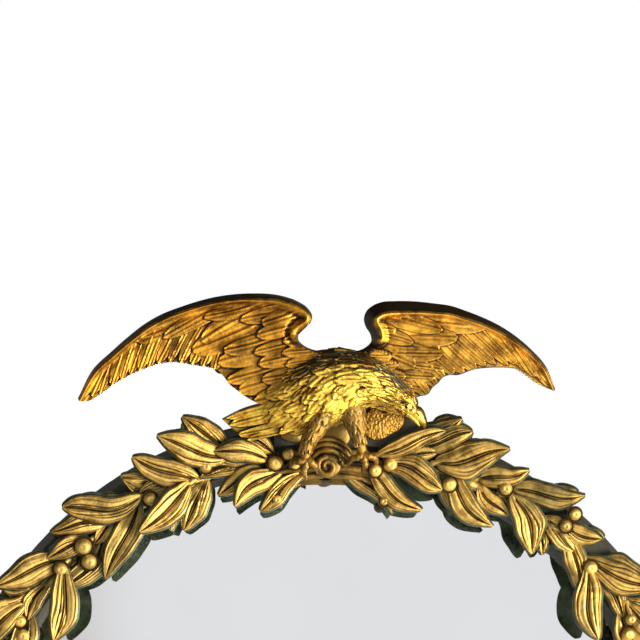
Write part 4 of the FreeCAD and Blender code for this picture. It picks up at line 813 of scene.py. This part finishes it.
def scroll():
    """A rolled shell: a spiral round its eye under three fluted arcs, with two arms along the
    arch whose outer edge is a roll."""
    x, z = SCROLL_CENTRE
    depth = FACE_DEPTH + 26.0
    shells = [mound([(x + 14 * math.sin(a), z + 13 * math.cos(a))
                     for a in np.linspace(0, 2 * np.pi, 16, endpoint=False)],
                    FACE_DEPTH, depth - 6, 3.0),
              spiral((x, z - 1), 10.5, 1.6, -1, depth, 3.4), spiral((x + 17, z + 4), 5.5, 1.2, 1,
                                                                   depth - 4, 2.4, 60)]
    for reach, width, rise in ((16, 3.2, 0), (21.5, 3.0, -3), (27, 2.8, -6)):
        arc = np.radians(np.linspace(-72, 66, 9))
        rows = [(x + reach * math.sin(a), depth + rise - 3 * abs(a),
                 z + 1 + reach * 0.92 * math.cos(a), width * math.cos(a * 0.8)) for a in arc]
        shells.append(limb(rows, 50, 14))
    for side in (-1, 1):
        for radius, thick, rise, reach in ((344, 4.2, 12.0, 8.4), (336, 3.4, 9.5, 7.6)):
            rows = []
            for angle in np.linspace(1.0, reach, 9):
                outward, _ = ring_directions(side, angle)
                place = outward * (radius - 2.2 * (angle / reach)**3)
                rows.append((place[0], FACE_DEPTH + rise, place[2],
                             thick * (1 - 0.45 * (angle / reach)**2)))
            shells.append(limb(rows, 50, 16))
        arm = [ring_directions(side, angle)[0] for angle in np.linspace(0.5, 7.4, 8)]
        shells.append(limb([(340 * place[0], FACE_DEPTH + 5.0, 340 * place[2], 7.6)
                            for place in arm], 30, 16, flat=0.75))
    return shells


def rosette():
    """A boss with eight petals: its radius and height are waves of the angle round it."""
    turn = np.linspace(0.0, 2 * np.pi, 128, endpoint=False)[None, :]
    petal = np.abs(np.cos(4 * turn))
    share = np.linspace(0.0, 1.0, 40)[:, None]
    radius = 18.6 * (0.86 + 0.14 * petal**0.7)
    reach = np.sin(np.clip(share * 1.6, 0, 1) * np.pi / 2) * radius * (1 - share**4 * 0.97)
    petals = 15.0 + 3.0 * petal * smoothstep(share, 0.25, 0.5) * smoothstep(1 - share, 0.25, 0.45)
    eye = 8.0 * np.sqrt(np.clip(1 - (reach / 7.5)**2, 0, 1)) * smoothstep(share, 0.7, 0.8)
    depth = FACE_DEPTH + np.minimum(share * 46.0, petals) + eye
    loops = np.stack([reach * np.cos(turn), depth, reach * np.sin(turn) - SPINE_RADIUS], axis=-1)
    return [loft(placed(loops), wear_of(depth - FACE_DEPTH, 4, 0.8))]


def strap():
    """The forged strap behind the wings: its solid's box with the ends turned to half circles."""
    low, high = (corner / MM - RING_CENTRE * (1, 0, 1) for corner in np.array(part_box("wing_strip")))
    half = (high[2] - low[2]) / 2
    turn = np.linspace(-np.pi / 2, np.pi / 2, 17)
    right = np.stack([high[0] - half + half * np.cos(turn), low[2] + half * (1 + np.sin(turn))], 1)
    left = np.stack([low[0] + half - half * np.cos(turn), low[2] + half * (1 - np.sin(turn))], 1)
    outline = np.concatenate([right, left])
    loops = np.stack([np.stack([outline[:, 0], np.full(len(outline), depth), outline[:, 1]], 1)
                      for depth in (-high[1], -low[1])])
    return [loft(placed(loops), 0.0)]


# ---- materials -----------------------------------------------------------------------------

def linear(code):
    """The linear colour of an sRGB hex value."""
    parts = [int(code[k:k + 2], 16) / 255 for k in (1, 3, 5)]
    return tuple(c / 12.92 if c <= 0.04045 else ((c + 0.055) / 1.055)**2.4 for c in parts) + (1,)


def add(tree, kind, settings=None, **links):
    """Adds a node, sets its properties, and sets or links the inputs, named with underscores
    for spaces or numbered after an underscore."""
    item = tree.nodes.new(kind)
    for name, value in (settings or {}).items():
        setattr(item, name, value)
    for name, value in links.items():
        key = int(name[1:]) if name[0] == "_" else name.replace("_", " ")
        if isinstance(value, bpy.types.NodeSocket):
            tree.links.new(value, item.inputs[key])
        else:
            item.inputs[key].default_value = value
    return item


def blend_colours(tree, factor, first, second):
    """Socket of two colours mixed by a factor."""
    return add(tree, "ShaderNodeMix", {"data_type": "RGBA"}, _0=factor, _6=first,
               _7=second).outputs[2]


def start_material(name):
    """A material with an empty tree, its shader and a source of object coordinates."""
    material = bpy.data.materials.new(name)
    material.use_nodes = True
    tree = material.node_tree
    tree.nodes.clear()
    output = add(tree, "ShaderNodeOutputMaterial")
    shader = add(tree, "ShaderNodeBsdfPrincipled")
    tree.links.new(shader.outputs[0], output.inputs["Surface"])
    return material, tree, shader, add(tree, "ShaderNodeTexCoord").outputs["Object"]


def gilding(name):
    """Oil gilding on gessoed limewood, toned with bronze: gold leaf rubbed bright on the high
    parts, brown where it is worn thin, a green-black size left in the hollows, and green paint
    on the walls and undersides, which carry the wear of paint; the stored wear also brings painted
    highlight and shade from some pieces. Stippled gilding has punched dimples. It is made the
    first time that it is asked for."""
    if name in bpy.data.materials:
        return bpy.data.materials[name]
    worn, bright, rough, dull = GILDINGS[name]
    stippled = name == "stippled_gilding"
    material, tree, shader, place = start_material(name)
    # The stored wear also carries painted highlight and shade from some pieces.
    wear_and_shade = add(tree, "ShaderNodeAttribute", {"attribute_type": "GEOMETRY",
                                             "attribute_name": "wear_and_shade"}).outputs["Fac"]
    clouds = add(tree, "ShaderNodeTexNoise", Vector=place, Scale=1 / 0.016, Detail=5.0,
                 Roughness=0.65).outputs["Fac"]
    clouds = add(tree, "ShaderNodeMapRange", Value=clouds, From_Min=0.32,
                 From_Max=0.68).outputs[0]
    grain = add(tree, "ShaderNodeTexNoise", Vector=place, Scale=1 / 0.0026, Detail=3.0,
                Roughness=0.7).outputs["Fac"]
    shade = add(tree, "ShaderNodeAmbientOcclusion", {"samples": 6}, Distance=0.011)
    mottle = add(tree, "ShaderNodeMath", {"operation": "MULTIPLY_ADD"}, _0=grain, _1=0.45,
                 _2=clouds).outputs[0]
    rubbed_and_highlit = add(tree, "ShaderNodeMath", {"operation": "MULTIPLY_ADD"}, _0=wear_and_shade, _1=0.4,
                 _2=mottle).outputs[0]
    tone = add(tree, "ShaderNodeMapRange", Value=rubbed_and_highlit, From_Min=0.2, From_Max=1.15).outputs[0]
    gold = blend_colours(tree, tone, linear(worn), linear(bright))
    aged = add(tree, "ShaderNodeTexNoise", Vector=place, Scale=1 / 0.09, Detail=2.0).outputs[0]
    aged = add(tree, "ShaderNodeMapRange", Value=aged, From_Min=0.45, From_Max=0.75,
               To_Max=dull).outputs[0]
    gold = blend_colours(tree, aged, gold, linear("#8A8254"))
    hollow = add(tree, "ShaderNodeMapRange", {"interpolation_type": "SMOOTHSTEP"},
                 Value=shade.outputs["AO"], From_Min=0.6, From_Max=0.16).outputs[0]
    sunk = add(tree, "ShaderNodeMapRange", Value=wear_and_shade, From_Min=-0.15, From_Max=-0.8).outputs[0]
    creased = blend_colours(tree, sunk, gold, linear("#3A2208"))
    dark = add(tree, "ShaderNodeMath", {"operation": "MULTIPLY_ADD", "use_clamp": True},
               _0=sunk, _1=0.55, _2=hollow).outputs[0]
    size = blend_colours(tree, clouds, linear("#1E1A0A"), linear("#0C150D"))
    colour = blend_colours(tree, dark, creased, size)
    paint = add(tree, "ShaderNodeMapRange", Value=wear_and_shade, From_Min=-1.3, From_Max=-1.8).outputs[0]
    green = blend_colours(tree, clouds, linear("#18221A"), linear("#52644F"))
    colour = blend_colours(tree, paint, colour, green)
    bare = add(tree, "ShaderNodeMath", {"operation": "MAXIMUM"}, _0=dark, _1=paint).outputs[0]
    metal = add(tree, "ShaderNodeMapRange", Value=bare, To_Min=0.9, To_Max=0.1).outputs[0]
    rough = add(tree, "ShaderNodeMapRange", Value=mottle, From_Min=0.2, From_Max=1.2,
                To_Min=rough - 0.12, To_Max=rough + 0.12).outputs[0]
    relief = grain
    if stippled:
        relief = add(tree, "ShaderNodeTexVoronoi", {"feature": "SMOOTH_F1"}, Vector=place,
                     Scale=1 / 0.0024).outputs["Distance"]
    bump = add(tree, "ShaderNodeBump", Height=relief, Strength=1.0 if stippled else 0.4,
               Distance=0.0016 if stippled else 0.0009).outputs[0]
    for socket, value in (("Base Color", colour), ("Metallic", metal), ("Roughness", rough),
                          ("Normal", bump)):
        tree.links.new(value, shader.inputs[socket])
    return material


def finish(name):
    """A finish of the table: soft patches of two colours whose roughness may stray with them,
    over a fine grain. It is made the first time that it is asked for."""
    if name in bpy.data.materials:
        return bpy.data.materials[name]
    dark, light, patch, detail, metallic, rough, stray, fine = FINISHES[name]
    material, tree, shader, place = start_material(name)
    film = add(tree, "ShaderNodeTexNoise", Vector=place, Scale=1 / patch,
               Detail=detail).outputs[0]
    tree.links.new(blend_colours(tree, film, linear(dark), linear(light)),
                   shader.inputs["Base Color"])
    shader.inputs["Metallic"].default_value = metallic
    shader.inputs["Roughness"].default_value = rough
    if stray:
        rough = add(tree, "ShaderNodeMapRange", Value=film, To_Min=rough - stray,
                    To_Max=rough + stray).outputs[0]
        tree.links.new(rough, shader.inputs["Roughness"])
    if fine:
        size, strength, depth = fine
        grain = add(tree, "ShaderNodeTexNoise", Vector=place, Scale=1 / size,
                    Detail=2.0).outputs[0]
        bump = add(tree, "ShaderNodeBump", Height=grain, Strength=strength,
                   Distance=depth).outputs[0]
        tree.links.new(bump, shader.inputs["Normal"])
    return material


def bare_pine():
    """Old unpainted pine, sawn: straight yellow-brown grain along the boards."""
    material, tree, shader, place = start_material("bare_pine")
    grown = add(tree, "ShaderNodeMapping", Vector=place, Scale=(1.0, 1.0, 0.06)).outputs[0]
    rings = add(tree, "ShaderNodeTexNoise", Vector=grown, Scale=1 / 0.006, Detail=5.0,
                Distortion=0.6).outputs[0]
    line = add(tree, "ShaderNodeMapRange", Value=rings, From_Min=0.35, From_Max=0.65).outputs[0]
    colour = blend_colours(tree, line, linear("#85623A"), linear("#A98354"))
    bump = add(tree, "ShaderNodeBump", Height=rings, Strength=0.3, Distance=0.0006).outputs[0]
    tree.links.new(colour, shader.inputs["Base Color"])
    tree.links.new(bump, shader.inputs["Normal"])
    shader.inputs["Roughness"].default_value = 0.7
    return material


# ---- operators -----------------------------------------------------------------------------

class MirrorLooks(bpy.types.PropertyGroup):
    leaf_relief: bpy.props.FloatProperty(
        name="Leaf relief", description="Depth of the carving on the leaves", default=1.0,
        min=0.2, max=2.0, subtype="FACTOR")
    feather_relief: bpy.props.FloatProperty(
        name="Feather relief", description="Depth of the carving on the eagle", default=1.0,
        min=0.2, max=2.0, subtype="FACTOR")
    floor_radius: bpy.props.FloatProperty(
        name="Floor radius", description="Radius of the round studio floor", default=1.2,
        unit="LENGTH", subtype="DISTANCE")
    camera_distance: bpy.props.FloatProperty(
        name="Camera distance", description="From the camera to what it looks at", default=4.0,
        unit="LENGTH", subtype="DISTANCE")
    camera_turn: bpy.props.FloatProperty(
        name="Camera turn", description="How far the camera stands to the right",
        default=math.radians(-1.5), unit="ROTATION", subtype="ANGLE")
    camera_rise: bpy.props.FloatProperty(
        name="Camera rise", description="How far the camera stands above the eagle",
        default=math.radians(2.0), unit="ROTATION", subtype="ANGLE")


class Carving:
    """What the operators of the carved pieces share."""
    bl_options = {"REGISTER", "UNDO"}

    @property
    def looks(self):
        return bpy.context.scene.mirror_looks


class CarveLaurel(Carving, bpy.types.Operator):
    """Carve the eighteen sprays of the two laurel branches"""
    bl_idname = "mirror.carve_laurel"
    bl_label = "Laurel sprays"

    def execute(self, context):
        pitch = (180.0 - FOOT_ANGLE - PLAIN_START) / PLAIN_SPRAYS
        relief = self.looks.leaf_relief
        for name, side in (("left", -1), ("right", 1)):
            for number, (start, end) in APEX_SPRAY_ENDS.items():
                shells = spray(side, APEX_LEAVES[name][number], APEX_BERRIES[name][number],
                               start, end, 10 * number + side, relief)
                make_piece(f"carved_laurel_{name}_{number}", shells, gilding("bronzed_limewood"),
                           f"laurel_{name}_{number}")
            for step in range(PLAIN_SPRAYS):
                number = len(APEX_SPRAY_ENDS) + 1 + step
                start = PLAIN_START + pitch * step
                leaves, berries = ([(start + row[0],) + row[1:] for row in rows]
                                   for rows in (PLAIN_LEAVES, PLAIN_BERRIES))
                if step == PLAIN_SPRAYS - 1:
                    leaves = [row for row in leaves if row[0] < 180 - 4 * FOOT_ANGLE]
                shells = spray(side, leaves, berries, start, start + pitch,
                               10 * number + side, relief)
                make_piece(f"carved_laurel_{name}_{number}", shells, gilding("bronzed_limewood"),
                           f"laurel_{name}_{number}")
        return {"FINISHED"}


class CarveWings(Carving, bpy.types.Operator):
    """Carve the spread wings"""
    bl_idname = "mirror.carve_wings"
    bl_label = "Wings"

    def execute(self, context):
        for side in ("left", "right"):
            make_piece(f"carved_wing_{side}", [wing(side, self.looks.feather_relief)],
                       gilding(WING_GILDINGS[side]), f"wing_{side}")
        return {"FINISHED"}


class CarveEagle(Carving, bpy.types.Operator):
    """Carve the eagle's body with its head, the tail and the legs"""
    bl_idname = "mirror.carve_eagle"
    bl_label = "Eagle"

    def execute(self, context):
        relief = self.looks.feather_relief
        gold = gilding("oil_gilded_limewood")
        make_piece("carved_body", eagle_body(relief), gold, "eagle_body")
        make_piece("carved_tail", [tail(relief)], gold, "eagle_tail")
        for side in ("left", "right"):
            make_piece(f"carved_leg_{side}", leg(side, relief), gilding("smoked_gilding"),
                       f"leg_{side}")
        return {"FINISHED"}


class CarveScroll(Carving, bpy.types.Operator):
    """Carve the scroll under the eagle, the ground beside it and the boss at the foot"""
    bl_idname = "mirror.carve_scroll"
    bl_label = "Scroll, webs and rosette"

    def execute(self, context):
        dark_patina_and_shade = gilding("smoked_gilding")
        make_piece("carved_scroll", scroll(), dark_patina_and_shade, "scroll")
        webs = [mound(outline, BOARD_DEPTH - 1.0, BOARD_DEPTH + 3.0, 3.5)
                for outline in WEB_OUTLINES]
        make_piece("stippled_web", webs[:1], gilding("stippled_gilding"))
        make_piece("dark_webs_patina_and_shade", webs[1:], dark_patina_and_shade)
        make_piece("painted_rest", [mound(BEAK_REST, BOARD_DEPTH - 3.0, BOARD_DEPTH + 1.0, 1.0)],
                   finish("green_black_painted_pine"))
        make_piece("carved_rosette", rosette(), gilding("oil_gilded_limewood"), "foot_rosette")
        return {"FINISHED"}


class FinishFrame(bpy.types.Operator):
    """Give the frame's own pieces their paint, wood, glass and metals"""
    bl_idname = "mirror.finish_frame"
    bl_label = "Frame finishes"

    def execute(self, context):
        paint = finish("green_black_painted_pine")
        finishes = {
            "ring_core": paint, "crest_board": paint, "crest_block": paint,
            "mirror_glass": finish("silvered_glass"), "pine": bare_pine(),
            "brass": finish("aged_brass"), "iron": finish("forged_iron"),
            "steel_screws": finish("old_steel"),
        }
        slots = {entry["node"]: entry["material_slot"]
                 for entry in frame["record"]["subparts"]}
        for node, item in frame["nodes"].items():
            material = finishes.get(node) or finishes.get(slots[node])
            if material:
                item.data.materials.clear()
                item.data.materials.append(material)
        make_piece("forged_strap", strap(), finishes["iron"], "wing_strip")
        return {"FINISHED"}


class SetStage(Carving, bpy.types.Operator):
    """Lay the floor, light the room and stand the camera"""
    bl_idname = "mirror.set_stage"
    bl_label = "Stage"

    def execute(self, context):
        looks = self.looks
        self.floor(looks.floor_radius)
        self.room()
        for name, details in LIGHTS.items():
            self.light(name, *details)
        self.camera(looks)
        bpy.context.scene.view_settings.view_transform = "Standard"
        return {"FINISHED"}

    def floor(self, radius):
        """A round floor just under the ring: circles from the middle to a rounded rim."""
        profile = np.array([(0.02, 0.0), (0.5, 0.0), (0.98, 0.0), (1.0, -0.004), (0.98, -0.012),
                            (0.02, -0.012)]) * (radius, 1.0)
        turn = np.linspace(0.0, 2 * np.pi, FLOOR_ROUNDS, endpoint=False)[None, :]
        low = CAD_BOX[0][2] - FLOOR_GAP
        loops = np.stack([profile[:, :1] * np.cos(turn), profile[:, :1] * np.sin(turn),
                          low + profile[:, 1:] + 0 * turn], axis=-1)
        points, quads, fans, _ = loft(loops, 0.0)
        mesh = bpy.data.meshes.new("studio_floor")
        mesh.from_pydata(points.tolist(), [], quads.tolist() + fans.tolist())
        mesh.materials.append(finish("studio_paper"))
        item = bpy.data.objects.new("studio_floor", mesh)
        bpy.context.scene.collection.objects.link(item)

    def room(self):
        """White behind the object for the eye and an even pale room for matt surfaces; for what
        gold and glass reflect, a pale wall ahead of the mirror, a dim room around it and a dark
        ceiling."""
        world = bpy.data.worlds.new("studio_room")
        bpy.context.scene.world = world
        world.use_nodes = True
        tree = world.node_tree
        tree.nodes.clear()
        output = add(tree, "ShaderNodeOutputWorld")
        heading = add(tree, "ShaderNodeTexCoord").outputs["Generated"]
        height = add(tree, "ShaderNodeSeparateXYZ", Vector=heading).outputs["Z"]
        ceiling = add(tree, "ShaderNodeMapRange", {"interpolation_type": "SMOOTHSTEP"},
                      Value=height, From_Min=0.12, From_Max=0.6).outputs[0]
        dim = blend_colours(tree, ceiling, linear("#B6B0A4"), linear("#1C1D20"))
        ahead = add(tree, "ShaderNodeVectorMath", {"operation": "DOT_PRODUCT"}, _0=heading,
                    _1=Vector((0.17, -0.97, 0.12)).normalized()).outputs["Value"]
        wall = add(tree, "ShaderNodeMapRange", {"interpolation_type": "SMOOTHSTEP"},
                   Value=ahead, From_Min=0.82, From_Max=0.93).outputs[0]
        seen = blend_colours(tree, wall, dim, linear("#E6E7E9"))
        path = add(tree, "ShaderNodeLightPath").outputs
        colour = blend_colours(tree, path["Is Diffuse Ray"], seen, linear("#D9D9D7"))
        colour = blend_colours(tree, path["Is Camera Ray"], colour, linear("#FFFFFF"))
        light = add(tree, "ShaderNodeBackground", Color=colour, Strength=1.0)
        tree.links.new(light.outputs[0], output.inputs["Surface"])

    def light(self, name, place, size, power, colour):
        """A square soft light aimed at the eagle."""
        lamp = bpy.data.lights.new(name, "AREA")
        lamp.size, lamp.energy, lamp.color = size, power, linear(colour)[:3]
        item = bpy.data.objects.new(name, lamp)
        item.location = place
        item.rotation_euler = (Vector(LIGHT_AIM) - item.location).to_track_quat(
            "-Z", "Y").to_euler()
        bpy.context.scene.collection.objects.link(item)

    def camera(self, looks):
        """The camera looks at the middle of the photographed part, 640 mm across."""
        lens = bpy.data.cameras.new("camera")
        turn, rise, distance = looks.camera_turn, looks.camera_rise, looks.camera_distance
        lens.lens = lens.sensor_width * distance / (PHOTO_WIDTH * math.cos(turn))
        lens.clip_end = 100.0
        item = bpy.data.objects.new("camera", lens)
        back = Vector((math.sin(turn) * math.cos(rise), -math.cos(turn) * math.cos(rise),
                       math.sin(rise)))
        aim = Vector(placed([PHOTO_MIDDLE[0], BOARD_DEPTH + 4.0, PHOTO_MIDDLE[1]]))
        item.location = aim + back * distance
        item.rotation_euler = (-back).to_track_quat("-Z", "Y").to_euler()
        bpy.context.scene.collection.objects.link(item)
        bpy.context.scene.camera = item


STEPS = (CarveLaurel, CarveWings, CarveEagle, CarveScroll, FinishFrame, SetStage)


class MirrorPanel(bpy.types.Panel):
    bl_idname = "VIEW3D_PT_mirror"
    bl_label = "Gilt laurel mirror"
    bl_space_type = "VIEW_3D"
    bl_region_type = "UI"
    bl_category = "Mirror"

    def draw(self, context):
        for name in MirrorLooks.__annotations__:
            self.layout.prop(context.scene.mirror_looks, name)
        for step in STEPS:
            self.layout.operator(step.bl_idname)


def register():
    for item in (MirrorLooks, *STEPS, MirrorPanel):
        bpy.utils.register_class(item)
    bpy.types.Scene.mirror_looks = bpy.props.PointerProperty(type=MirrorLooks)


def unregister():
    del bpy.types.Scene.mirror_looks
    for item in (MirrorPanel, *reversed(STEPS), MirrorLooks):
        bpy.utils.unregister_class(item)


def main():
    """Makes every piece in order."""
    register()
    for step in STEPS:
        group, name = step.bl_idname.split(".")
        getattr(getattr(bpy.ops, group), name)()


if __name__ == "__main__":
    main()
